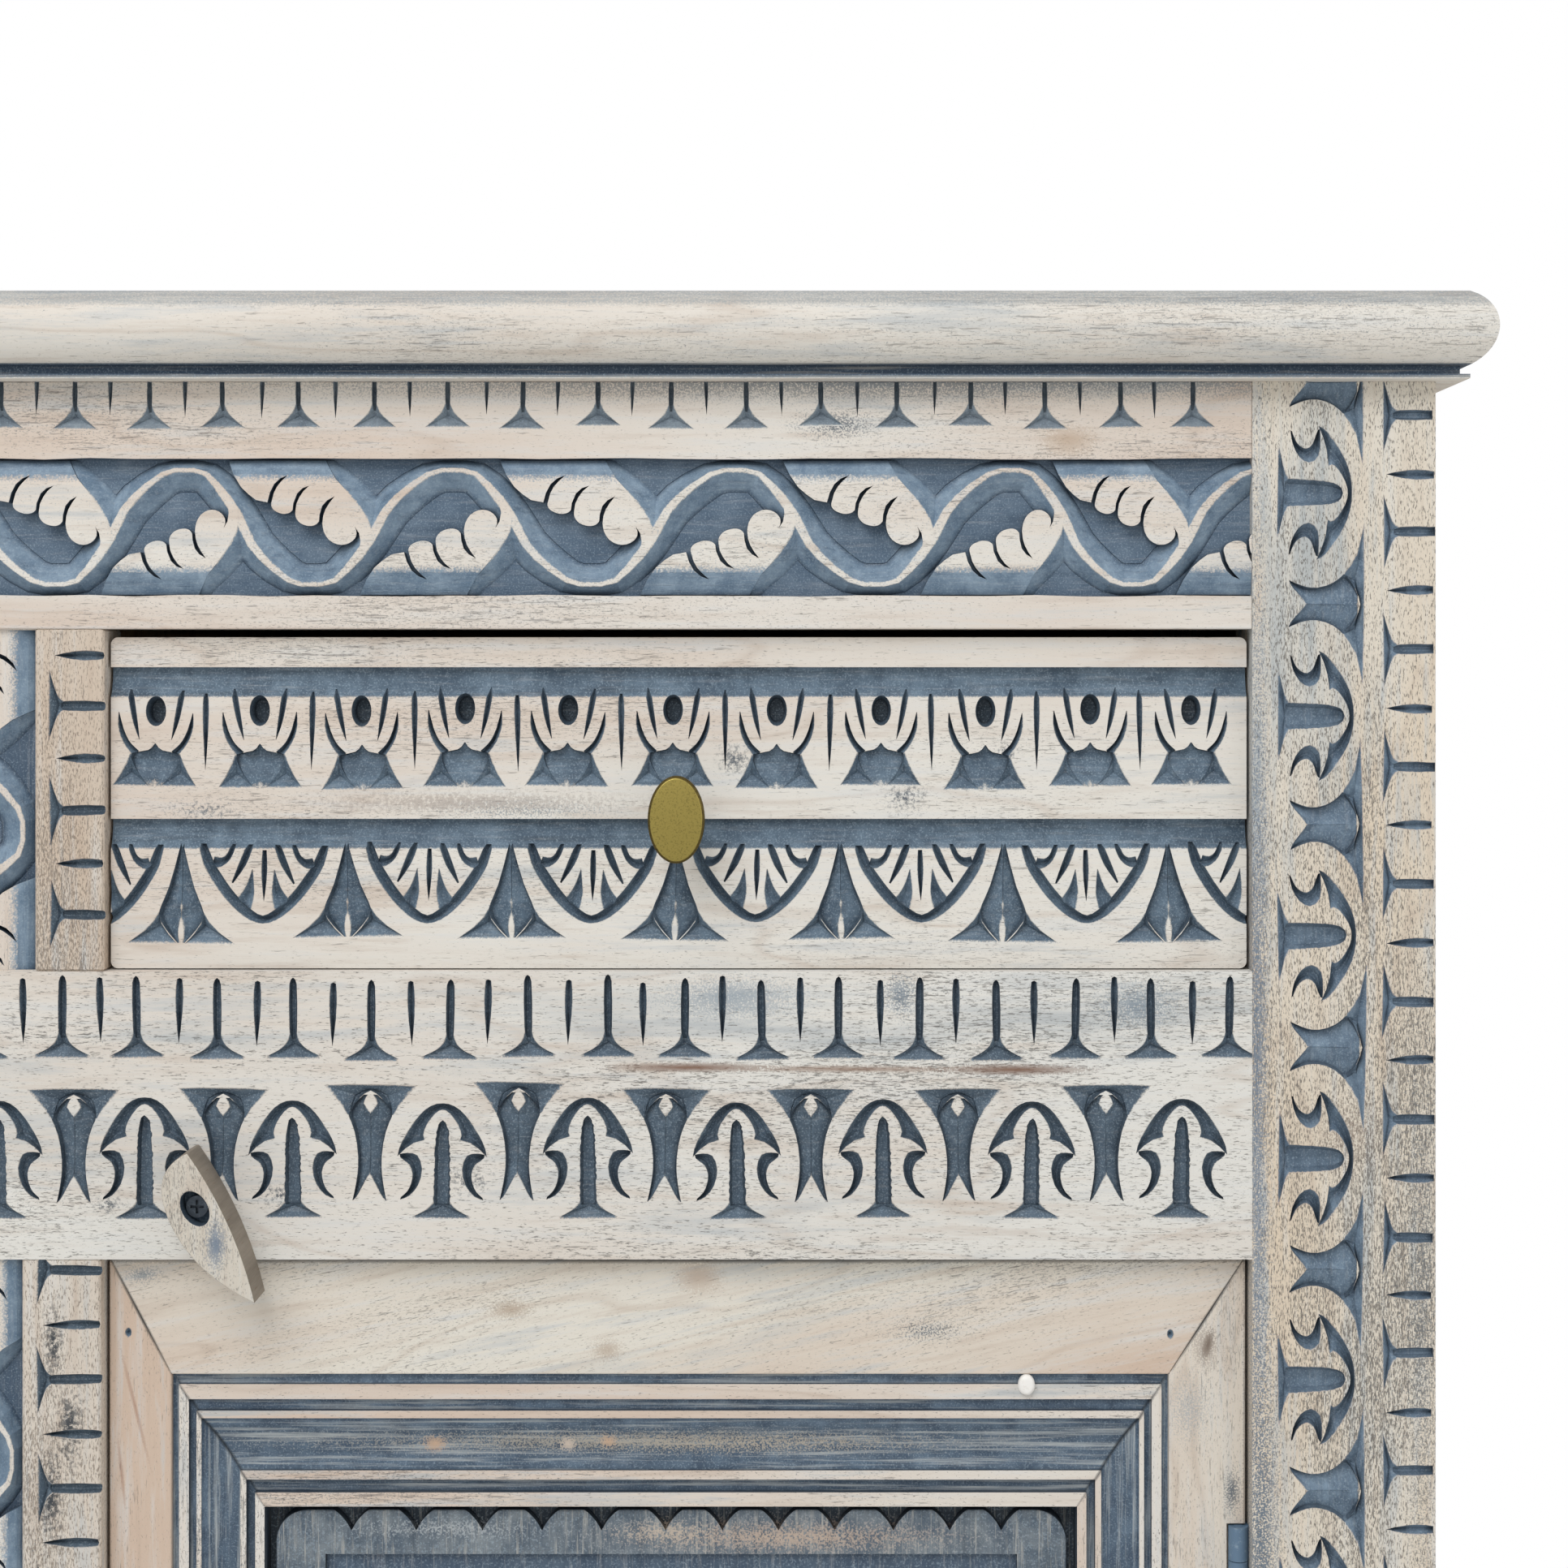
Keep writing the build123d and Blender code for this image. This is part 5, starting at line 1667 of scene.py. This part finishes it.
    def stile(self, side: Side, kind: str, drop: float, pitch: float, seed: int) -> None:
        """Makes an inner stile with a column of footed ticks and lens ticks.

        Args:
            side: The bay that it stands beside.
            kind: The node's name without its side.
            drop: How far the first tick lies below the stile's top.
            pitch: From tick to tick.
            seed: The start of its hand errors.
        """
        name, sign = f"{kind}_{side.word}", side.value
        low, high = box_of(name)
        inner, outer = sorted((abs(low.x), abs(high.x)))
        carving = Carving(self.face)
        chance = random.Random(seed + sign)
        tick = FootedTick(reach=13.8, foot_height=6.2, stem_top=outer - inner - 4.4, stem_half=1.9, depth=2.8)
        lens = PlainTick(outer - inner - 7.4, 2.0, 0.6, 2.2)
        v = top_of(name) - drop
        while v > low.z + 2:
            tick.cut(carving, Place(sign * (inner + 5.4), v, -90.0 * sign).by_hand(chance, 0.5))
            v -= pitch
        v = top_of(name) - drop + pitch / 2
        while v > low.z + 3:
            if v < high.z - 3:
                between = Place(sign * (inner + 7.6), v, -90.0 * sign)
                lens.cut(carving["plain"], between.by_hand(chance, 0.4))
            v -= pitch
        blot = {"colour": "#2F373F", "strength": 0.95, "specks": 0.85, "blotched": True}
        marks = tuple(Stain(*spot, **blot) for spot in ((37, 512, 7, 28), (43, 482, 9, 30), (36, 455, 8, 34)))
        dry = {"beige": "#CAB9A7", "fleck": "#7C7064", "flecks": 0.75, "coarse": 0.1}
        materials = [
            self.shop.washed(Grain.Z, tag="_stile", stains=marks, **dry),
            self.shop.washed(Grain.Z, Wash.CARVED, "_stile", blue="#43525F", blue_pale="#5E707F"),
        ]
        self.shop.board(name, Grain.Z, self.face, carving, 0.8, materials, 0.8)

    def centre_panel(self, name: str, count: int) -> None:
        """Makes a centre panel: the same vine standing upright, from edge to edge.

        Args:
            name: The node's name.
            count: How many half waves the vine has.
        """
        low, high = box_of(name)
        face, inset = low.y, self.panel_rebate
        vine = Vine(ground=5.4, crease=6.2)
        made = cad_copy(name, name + "_carved")
        carving = Carving(face)
        rim = corners((low.x + inset, high.x - inset), (low.z + inset, high.z - inset))
        carving["band"].pocket(Place(0, 0), rim, vine.ground)
        place = Place(0, high.z, -90.0, 1.0, (high.x - low.x - 1) / 50.4)
        turns = [24.0 + i * vine.half_wave for i in range(count)]
        vine.creases(carving, turns, place)
        carving.cut(made)
        self.lay_vine(made, vine, turns, place, rim, face)
        mark(made, face, 1.7)
        carved = self.shop.washed(Grain.Z, Wash.CARVED, "_centre", **VINE_BLUES)
        self.shop.done(made, name, [carved, carved])

    def plain_boards(self) -> None:
        """The top, and the uncarved boards below it, washed outside or bare inside."""
        self.top_board()
        lengthwise = ["bottom_rail", "back_panel", "back_rails", "bottom_board", "corner_blocks"]
        sides = ["rear_post", "side_panel", "partition"]
        upright = [f"{name}_{side.word}" for name in sides for side in Side]
        deep = ["side_rails_left", "side_rails_right", "drawer_runners", "shelf_cleats"]
        shelves = ["shelf_left", "shelf_right"]
        ply = self.shop.finish(BareWood("back_plywood", Grain.X, "#D3B389", "#BC9668"))
        for names, grain in ((lengthwise, Grain.X), (upright, Grain.Z), (deep, Grain.Y), (shelves, Grain.X)):
            unwashed = {"inner_wood": [self.shop.bare(grain)], "back_ply": [ply]}
            for name in names:
                self.shop.board(name, grain, materials=unwashed.get(self.shop.slot[name]))

    def top_board(self) -> None:
        """The top: a rubbed nose under a greyed upper side, with the wash left in the quirk, where painted
        shade darkens it.
        """
        low = box_of("top_board")[0]
        made = cad_copy("top_board", "top_board_finished")
        mark(made, low.y, 2.2, 0.0)
        made.data.attributes.remove(made.data.attributes["steep"])
        depth = made.data.attributes["depth"].data
        # The quirk gets a set depth of 2.5, which gives it the blue wash and the full painted depth shade.
        for i, vertex in enumerate(made.data.vertices):
            height = vertex.co.z / MM - low.z
            greyed = 0.54 * min(1.0, max(0.0, (height - 24.5) / 2.5))
            depth[i].value = 2.5 if 1.0 < height < 5.2 else greyed
        smooth(made, 25)
        greys = {"blue": "#7E8387", "blue_pale": "#A6A8A6", "blue_deep": "#3F5164", "stroke_tone": "#CBC6BC"}
        laid = {"cover": (0.55, 1.15), "deep": (1.0, 2.2), "deepness": 1.0, "flecks": 0.35}
        drawn = {"brushed": 0.55, "stroke": 40.0, "stroke_scale": 420.0, "mottle_length": 12.0}
        washed = self.shop.washed(Grain.X, Wash.CARVED, "_top", beige="#D6CBBF", **greys, **laid, **drawn)
        self.shop.done(made, "top_board", [washed])


@dataclass
class Drawer:
    """One drawer: its carved front and its box. A drop is measured down from the front's top."""

    shop: Workshop
    side: Side
    lotus_pitch: float = 38.6
    lotus_first: float = 16.2
    lotus_drop: float = 27.0
    tick_drop: float = 49.5
    fan_first: float = 26.6
    fan_drop: float = 78.9
    tent_drop: float = 78.1

    def build(self) -> None:
        """Makes the drawer's pieces."""
        self.front()
        for part, grain in (("sides", Grain.Y), ("back", Grain.X), ("bottom", Grain.X)):
            name = f"drawer_{part}_{self.side.word}"
            self.shop.board(name, grain, eased=0.3, materials=[self.shop.bare(grain)])

    def front(self) -> None:
        """The front, with a row of lotus cups above a row of fans."""
        name, sign = f"drawer_front_{self.side.word}", self.side.value
        low, high = box_of(name)
        inner, outer = sorted((abs(low.x), abs(high.x)))
        carving = Carving(low.y)
        chance = random.Random(21 + sign)
        for i in range(11):
            u = sign * (inner + self.lotus_first + i * self.lotus_pitch)
            Lotus().cut(carving, Place(u, high.z - self.lotus_drop).by_hand(chance, 0.6))
            if i < 10:
                between = Place(u + sign * self.lotus_pitch / 2, high.z - self.tick_drop)
                PlainTick(29.5, 1.2, 0.75, 2.0, False).cut(carving["plain"], between.by_hand(chance, 0.5))
        fan = Fan()
        for i in range(-1, 8):
            u = inner + self.fan_first + i * fan.pitch
            if i >= 0 and u < outer - 12:
                fan.tent(carving, Place(sign * u, high.z - self.tent_drop).by_hand(chance, 0.5))
            u += fan.pitch / 2
            if inner - 10 < u < outer + 8:
                fan.groove(carving, Place(sign * u, high.z - self.fan_drop).by_hand(chance, 0.5))
        blot = {"colour": "#46525E", "strength": 0.9, "blotched": True}
        marks = (
            Stain(288.5, 728, 12, 11, specks=0.75, **blot),
            Stain(352, 714, 15, 13, specks=0.65, **blot),
            Stain(390, 731, 9, 8, specks=0.6, **blot),
            Stain(91, 709, 34, 9, "#55616C", 0.85, 0.55, blotched=True),
            Stain(210, 709, 60, 7, "#7A8791", 0.7, 0.6),
            Stain(190, 712, 120, 8, "#9A8E86", 0.6, 0.9, blotched=True),
            Stain(-250, 712, 90, 9, "#6A7680", 0.7, 0.55),
        )
        # Painted shade: the drilled holes and the deepest cuts darken towards a near-black blue by depth,
        # with strong corner shade.
        holes = {"blue_deep": "#303B45", "deep": (3.2, 5.0), "deepness": 0.9, "shade": 0.62}
        dry = {"fleck": "#5D5956", "flecks": 0.6, "fleck_length": 6.0}
        materials = [
            self.shop.washed(Grain.X, tag="_drawer", stains=marks, **dry),
            self.shop.washed(Grain.X, Wash.CARVED, "_drawer", blue="#465869", blue_pale="#697D8E", **holes),
        ]
        made = self.shop.board(name, Grain.X, low.y, carving, materials=materials, warmth=0.05)
        for polygon in made.data.polygons:
            depth = polygon.center.y / MM - low.y
            if 0.06 < depth < 4.0 and polygon.normal.y < -0.2:
                polygon.material_index = 1


@dataclass
class Door:
    """One door: its mitred frame, its moulding, its carved panel and its turn button."""

    shop: Workshop
    side: Side
    moulding_widths: Pair = (33.6, 51.2)
    first_scallop: float = 144.1
    scallop_pitches: tuple[float, ...] = (24.4, 24.9, 22.4, 22.4, 24.1, 21.4, 21.1, 21.2, 22.1, 21.2, 19.4)
    scallop_heights: Pair = (194.7, 445.3)
    field_margin: float = 16.7
    field_reach: Pair = (134.3, 394.6)
    button_pivot: Pair = (93.4, 566.1)

    def build(self) -> None:
        """Makes the door's pieces."""
        self.frame()
        self.moulding()
        self.panel()
        self.button()

    def frame(self) -> None:
        """The four mitred members, with their nail plugs."""
        word, sign = self.side.word, self.side.value
        face = face_of(f"door_top_rail_{word}")
        plugs = {"lock_stile": (62.5, 514.4), "top_rail": (450.9, 513.8)}
        warmth = {"lock_stile": 1.5, "hinge_stile": 0.1}
        grains = {"top_rail": Grain.X, "bottom_rail": Grain.X, "lock_stile": Grain.Z, "hinge_stile": Grain.Z}
        for part, grain in grains.items():
            carving = Carving(face)
            if part in plugs:
                u, v = plugs[part]
                carving["plugs"].chip(Place(sign * u, v), oval(1.3, 1.95, 12), (0, 0), 1.9)
            washes = self.materials(grain, face)
            self.shop.board(f"door_{part}_{word}", grain, face, carving, 0.35, washes, warmth.get(part, 0.3))

    def materials(self, grain: Grain, face: float) -> list[bpy.types.Material]:
        """Makes the door's own washes, with a knot by the hinge, dark lines along its joints, and painted
        shadow lines along its top and side edges.

        Args:
            grain: The way of the member's fibres.
            face: The Y of its face.

        Returns:
            The wash of its face and that of its cuts.
        """
        marks = (
            Stain(464, 509, 8, 14, "#A3968B", 0.8, 1.2),
            Stain(465, 510, 2.6, 8, "#75675C", 0.9, 2.0, -14),
            Stain(458, 486, 15, 24, "#A2A8AD", 0.65, 0.8),
            Stain(474, 455, 6, 15, "#4E5A66", 0.85, 1.0),
            Stain(65, 487, 1.1, 30, "#A07A66", 0.6, 2.4, 14),
            Stain(60, 462, 1.0, 18, "#A07A66", 0.6, 2.4, 6),
            Stain(360, 515, 26, 8, "#59646E", 0.85, 0.6),
            Stain(205, 523, 15, 7, "#A8937E", 0.6, 1.2),
            Stain(241, 508, 10, 7, "#A8937E", 0.55, 1.2),
            Stain(275, 535, 14, 9, "#B59C86", 0.6, 1.6),
            Stain(68, 536, 12, 6, "#76828C", 0.7, 0.9),
        )
        mitre = {"reach_x": 1.0, "reach_z": 34, "colour": "#3A3D40", "strength": 0.9, "specks": 3.0}
        # Painted shadow: near-black lines along the door's edges, where its gaps fall in shade; they reach
        # only the front arris.
        edge = {"strength": 0.95, "y": face, "reach_y": 1.6}
        for sign in (1, -1):
            for x, lean in ((67.0, 27.9), (464.6, -33.1)):
                marks += (Stain(sign * x, 520.7, lean=sign * lean, **mitre),)
                marks += (Stain(sign * x, 119.3, lean=-sign * lean, **mitre),)
        # Painted shadow lines: along the top edge under the rail, and along both side edges.
        for sign in (1, -1):
            marks += (
                Stain(sign * 267, 541.6, 420, 2.0, "#2B2A28", specks=2.8, **edge),
                Stain(sign * 55.2, 320, 1.1, 420, "#23211F", specks=2.6, **edge),
                Stain(sign * 479.0, 320, 1.5, 420, "#23211F", specks=2.6, **edge),
            )
        slant = 12.0 if grain is Grain.X else 0.0
        tones = {"cream": "#DFDACF", "beige": "#CDB8A6", "coarse": 0.03, "slant": slant}
        washed = self.shop.washed(grain, tag="_door", stains=marks, **tones)
        return [washed, self.shop.washed(grain, Wash.CARVED)]

    def moulding(self) -> None:
        """The mitred moulding: grooves and cove hold the blue wash, beads and flats are rubbed."""
        name = f"door_moulding_{self.side.word}"
        made = cad_copy(name, name + "_finished")
        low, high = box_of(name)
        middle, reach = (low + high) / 2, (high - low) / 2
        wide, tall = self.moulding_widths
        for polygon in made.data.polygons:
            spot = polygon.center / MM
            from_side = (reach.x - abs(spot.x - middle.x)) / wide
            from_end = (reach.z - abs(spot.z - middle.z)) / tall
            blue = self.is_blue(min(from_side, from_end), abs(polygon.normal.y))
            polygon.material_index = 2 * (from_end > from_side) + blue
        mark(made, low.y, 0.4)
        smooth(made, 25)
        mitre = {"reach_x": 1.1, "reach_z": 42, "colour": "#1E262E", "strength": 0.9, "specks": 3.0}
        run, rise = reach.x - wide / 2, reach.z - tall / 2
        mitres = tuple(
            Stain(middle.x + u * run, middle.z + v * rise, lean=-33.3 * u * v, **mitre)
            for u in (-1, 1)
            for v in (-1, 1)
        )
        worn = (
            Stain(250, 472, 200, 8, "#B4AB9B", 0.7, 0.9),
            Stain(176, 471, 7, 5, "#C8AA90", 0.9, 1.5),
            Stain(226, 471, 5, 4.5, "#CFC0B2", 0.9, 1.5),
            Stain(241, 472, 5, 4, "#C8AA90", 0.9, 1.4),
            Stain(300, 471, 90, 7, "#B5AA9A", 0.6, 0.7),
        )
        blues = {"blue": "#45566A", "blue_pale": "#71869A", "stroke_tone": "#B2B8BA"}
        drawn = {"brushed": 0.85, "stroke": 36.0, "stroke_scale": 470.0, "strokes": (0.49, 0.66)}
        tag = f"_moulding_{self.side.word}"
        finishes = []
        for grain, marks in ((Grain.X, worn + mitres), (Grain.Z, mitres)):
            finishes.append(self.shop.washed(grain, tag=tag, stains=mitres, wear=1.6, flecks=0.75))
            finishes.append(self.shop.washed(grain, Wash.CARVED, tag, stains=marks, **blues, **drawn))
        self.shop.done(made, name, finishes)

    @staticmethod
    def is_blue(share: float, facing: float) -> bool:
        """Says whether a face of the moulding keeps the blue wash.

        Args:
            share: The face's place across the moulding, from its outer edge at 0 to its inner edge at 1.
            facing: How far the face looks to the front, from 0 to 1.

        Returns:
            True in the grooves, in the cove and on the walls.
        """
        bare = ((0.079, 0.188), (0.273, 0.327), (0.733, 0.8), (0.897, 1.0))
        return facing < 0.3 or not any(low - 0.004 < share < high + 0.004 for low, high in bare)

    def panel(self) -> None:
        """The panel: scallops along its head and foot, and an inner field let into it."""
        name, sign = f"door_panel_{self.side.word}", self.side.value
        face = box_of(name)[0].y
        carving = Carving(face)
        side = curve([(7.0, 0.0), (5.2, -1.0), (2.2, -4.2), (0.06, -7.8)], 3)
        outline = [(-7.0, 1.0), (7.0, 1.0)] + side + flipped(side[::-1])
        low, high = self.scallop_heights
        for i in range(len(self.scallop_pitches) + 1):
            u = sign * (self.first_scallop + sum(self.scallop_pitches[:i]))
            carving["scallops"].pocket(Place(u, high), outline, 4.6)
            carving["scallops"].pocket(Place(u, low, 180), outline, 4.6)
        made = cad_copy(name, name + "_carved")
        ease(made, 0.6, 2)
        foot, top = low + self.field_margin, high - self.field_margin
        near, far = self.field_reach
        carving["field"].pocket(Place(0, 0), corners((sign * near, sign * far), (top, foot)), 2.6)
        carving.cut(made)
        mark(made, face - 3, 1.1)
        for polygon in made.data.polygons:
            spot = polygon.center / MM
            inside = foot < spot.z < top and near < abs(spot.x) < far and 1.0 < spot.y - face < 5.5
            polygon.material_index = 2 if polygon.normal.y > 0.9 else int(inside)
        marks = (
            Stain(309, 435, 100, 10, "#BDA998", 0.85, 0.9),
            Stain(262, 437, 30, 7, "#C4B5A4", 0.7, 0.9),
            Stain(180, 438, 60, 6, "#B3B8BA", 0.65, 0.7),
        )
        greys = {"blue": "#515E6B", "blue_pale": "#7F888E", "blue_deep": "#333E49", "stroke_tone": "#B3B2AC"}
        # Painted shade: the scallops darken by depth and in their corners.
        cut = {"deep": (3.9, 5.0), "deepness": 0.9, "shade": 0.98, "brushed": 0.85, "stroke": 20.0}
        even = {"blue": "#43546A", "blue_pale": "#617487", "brushed": 0.3}
        materials = [
            self.shop.washed(Grain.Z, Wash.CARVED, "_panel", stains=marks, **greys, **cut),
            self.shop.washed(Grain.Z, Wash.CARVED, "_field", **even),
            self.shop.washed(Grain.Z),
        ]
        self.shop.done(made, name, materials)

    def button(self) -> None:
        """The turn button: a rubbed face, a greyed edge and a blue-washed recess for its screw, darkened with
        painted shade.
        """
        name, sign = f"turn_button_{self.side.word}", self.side.value
        made = cad_copy(name, name + "_finished")
        face = box_of(name)[0].y
        ease(made, 0.5, 2)
        for polygon in made.data.polygons:
            spot = polygon.center / MM
            away = math.hypot(spot.x - sign * self.button_pivot[0], spot.z - self.button_pivot[1])
            upright = abs(polygon.normal.y) < 0.5
            recess = away < 8 and (spot.y > face + 0.6 or upright)
            polygon.material_index = 2 if recess else int(upright)
        mark(made, face - 3, 0.9)
        smudge = Stain(sign * 101, 553, 6.5, 15, "#63758A", 0.85, 1.3)
        dull = {"cream": "#CFC8BC", "beige": "#BBAA98", "flecks": 0.6, "coarse": 0.05}
        materials = [
            self.shop.washed(Grain.Z, tag=f"_button_{self.side.word}", stains=(smudge,), **dull),
            self.shop.finish(BareWood("weathered_edge", Grain.Y, "#978D80", "#756C61")),
            self.shop.washed(Grain.Z, Wash.CARVED),
        ]
        self.shop.done(made, name, materials)


@dataclass
class Hardware:
    """Knobs, hinges, screws and the white protective dot on the right door."""

    shop: Workshop

    def build(self) -> None:
        """Gives every metal and plastic node its finish, and each knob its chamfer."""
        # Lacquered brass, gone dull and olive with age: a soft gloss, duller where it was handled.
        brass = HandledSurface("aged_brass_lacquer", "#968748", "#7B6E3A", 0.85, 0.38, 0.5, 1400.0)
        # The knobs' chamfered rims in a darker brass: painted shade for the dark outline around each knob.
        rim = HandledSurface("aged_brass_rim", "#5E5129", "#3F371F", 0.85, 0.4, 0.6, 900.0)
        # Steel hinges under the same blue wash as the wood: matt paint, with a little steel showing.
        washed = HandledSurface("washed_hinge_steel", "#5F7890", "#8599AA", 0.15, 0.55, 0.7, 350.0, 0.55)
        # Plain steel screws, dark with oxide.
        dark = HandledSurface("screw_steel", "#3F464E", "#59616A", 0.8, 0.45, 0.6)
        # Soft white plastic: a faint even gloss.
        white = HandledSurface("white_soft_plastic", "#F2F0EC", "#E6E3DD", 0.0, 0.45, 0.5)
        finishes = {"aged_brass": brass, "hinge_steel": washed, "screw_steel": dark, "white_plastic": white}
        for name, slot in self.shop.slot.items():
            if slot in finishes and not name.startswith("drawer_knob"):
                material = self.shop.finish(finishes[slot])
                for holder in frame["nodes"][name].material_slots:
                    holder.material = material
                log.info("%s: %s", name, material.name)
        for side in Side:
            self.knob(side, [self.shop.finish(brass), self.shop.finish(rim)])

    def knob(self, side: Side, materials: Sequence[bpy.types.Material]) -> None:
        """Makes a knob with a chamfered rim, painted darker than its face: painted shade for its dark
        outline.

        Args:
            side: The bay of its drawer.
            materials: The brass of its face and the darker brass of its rim, which is painted shade.
        """
        name = f"drawer_knob_{side.word}"
        made = cad_copy(name, name + "_finished")
        ease(made, 1.0, 3)
        for polygon in made.data.polygons:
            polygon.material_index = int(polygon.normal.y > -0.8)
        smooth(made, 40)
        self.shop.done(made, name, materials)


@dataclass
class Studio:
    """Camera, lamps, floor and background. The lamps' places are in metres."""

    eye: Spot3 = (306.9, -1090.8, 760.0)
    lens: float = 55.9
    drop: float = -0.0704
    fill: float = 0.5
    key_power: float = 58.0
    floor_size: float = 12.0

    def build(self) -> None:
        """Sets the camera, the lamps, the floor and the world."""
        camera = bpy.data.objects.new("camera", bpy.data.cameras.new("camera"))
        camera.data.lens = self.lens
        camera.data.sensor_width = 36.0
        camera.data.shift_y = self.drop
        camera.location = Vector(self.eye) * MM
        camera.rotation_euler = (math.pi / 2, 0.0, 0.0)
        bpy.context.scene.collection.objects.link(camera)
        bpy.context.scene.camera = camera
        self.lamp("key", (-0.7, -2.2, 2.9), (0.25, -0.2, 0.6), 2.0, self.key_power)
        self.lamp("side", (2.6, -1.2, 1.4), (0.3, 0.0, 0.6), 1.5, self.key_power * 0.15)
        self.floor()
        self.world()
        bpy.context.scene.view_settings.view_transform = "Standard"

    @staticmethod
    def lamp(name: str, at: Spot3, towards: Spot3, size: float, power: float) -> None:
        """Adds one square soft lamp.

        Args:
            name: Its name.
            at: Where it hangs.
            towards: What it is turned to.
            size: The length of its side.
            power: Its power in watts.
        """
        data = bpy.data.lights.new(name, "AREA")
        data.size = size
        data.energy = power
        made = bpy.data.objects.new(name, data)
        made.location = at
        made.rotation_euler = (Vector(towards) - Vector(at)).to_track_quat("-Z", "Y").to_euler()
        bpy.context.scene.collection.objects.link(made)

    def floor(self) -> None:
        """Adds a pale floor that fades into the white background away from the cabinet."""
        bpy.ops.object.select_all(action="DESELECT")
        bpy.ops.mesh.primitive_plane_add(size=self.floor_size)
        made = bpy.context.active_object
        made.name = "floor"
        # Painted board: matt and nearly white, and plain white to the camera away from the cabinet.
        material, tree, output = blank_material("pale_floor")
        place = node(tree, "TexCoord").outputs["Object"]
        away = node(tree, "VectorMath", (place,), operation="LENGTH").outputs["Value"]
        share = node(tree, "MapRange", (away, 0.7, 1.25))
        seen = node(tree, "LightPath").outputs["Is Camera Ray"]
        share = node(tree, "Math", (share, seen), operation="MULTIPLY")
        matt = node(tree, "BsdfDiffuse", {"Color": tone("#F2F1EE")})
        white = node(tree, "Emission", {"Color": (1, 1, 1, 1), "Strength": 1.0})
        mixed = node(tree, "MixShader", (share, matt, white))
        tree.links.new(mixed.outputs[0], output.inputs["Surface"])
        made.data.materials.append(material)

    def world(self) -> None:
        """Lights the object evenly and shows pure white to the camera, to gloss and to glass."""
        world = bpy.data.worlds.new("studio")
        world.use_nodes = True
        tree = world.node_tree
        tree.nodes.clear()
        rays = node(tree, "LightPath").outputs
        seen = node(tree, "Math", (rays["Is Camera Ray"], rays["Is Glossy Ray"]), operation="MAXIMUM")
        seen = node(tree, "Math", (seen, rays["Is Transmission Ray"]), operation="MAXIMUM")
        strength = node(tree, "MapRange", (seen, 0.0, 1.0, self.fill, 1.0))
        shade = node(tree, "Background", {"Color": (1, 1, 1, 1), "Strength": strength})
        output = node(tree, "OutputWorld")
        tree.links.new(shade.outputs[0], output.inputs["Surface"])
        bpy.context.scene.world = world


def main() -> None:
    """Builds the cabinet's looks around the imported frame."""
    logging.basicConfig(level=logging.INFO, format="%(name)s: %(message)s")
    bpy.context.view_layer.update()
    Studio().build()
    shop = Workshop()
    Case(shop).build()
    for side in Side:
        Drawer(shop, side).build()
        Door(shop, side).build()
    Hardware(shop).build()


if __name__ == "__main__":
    main()
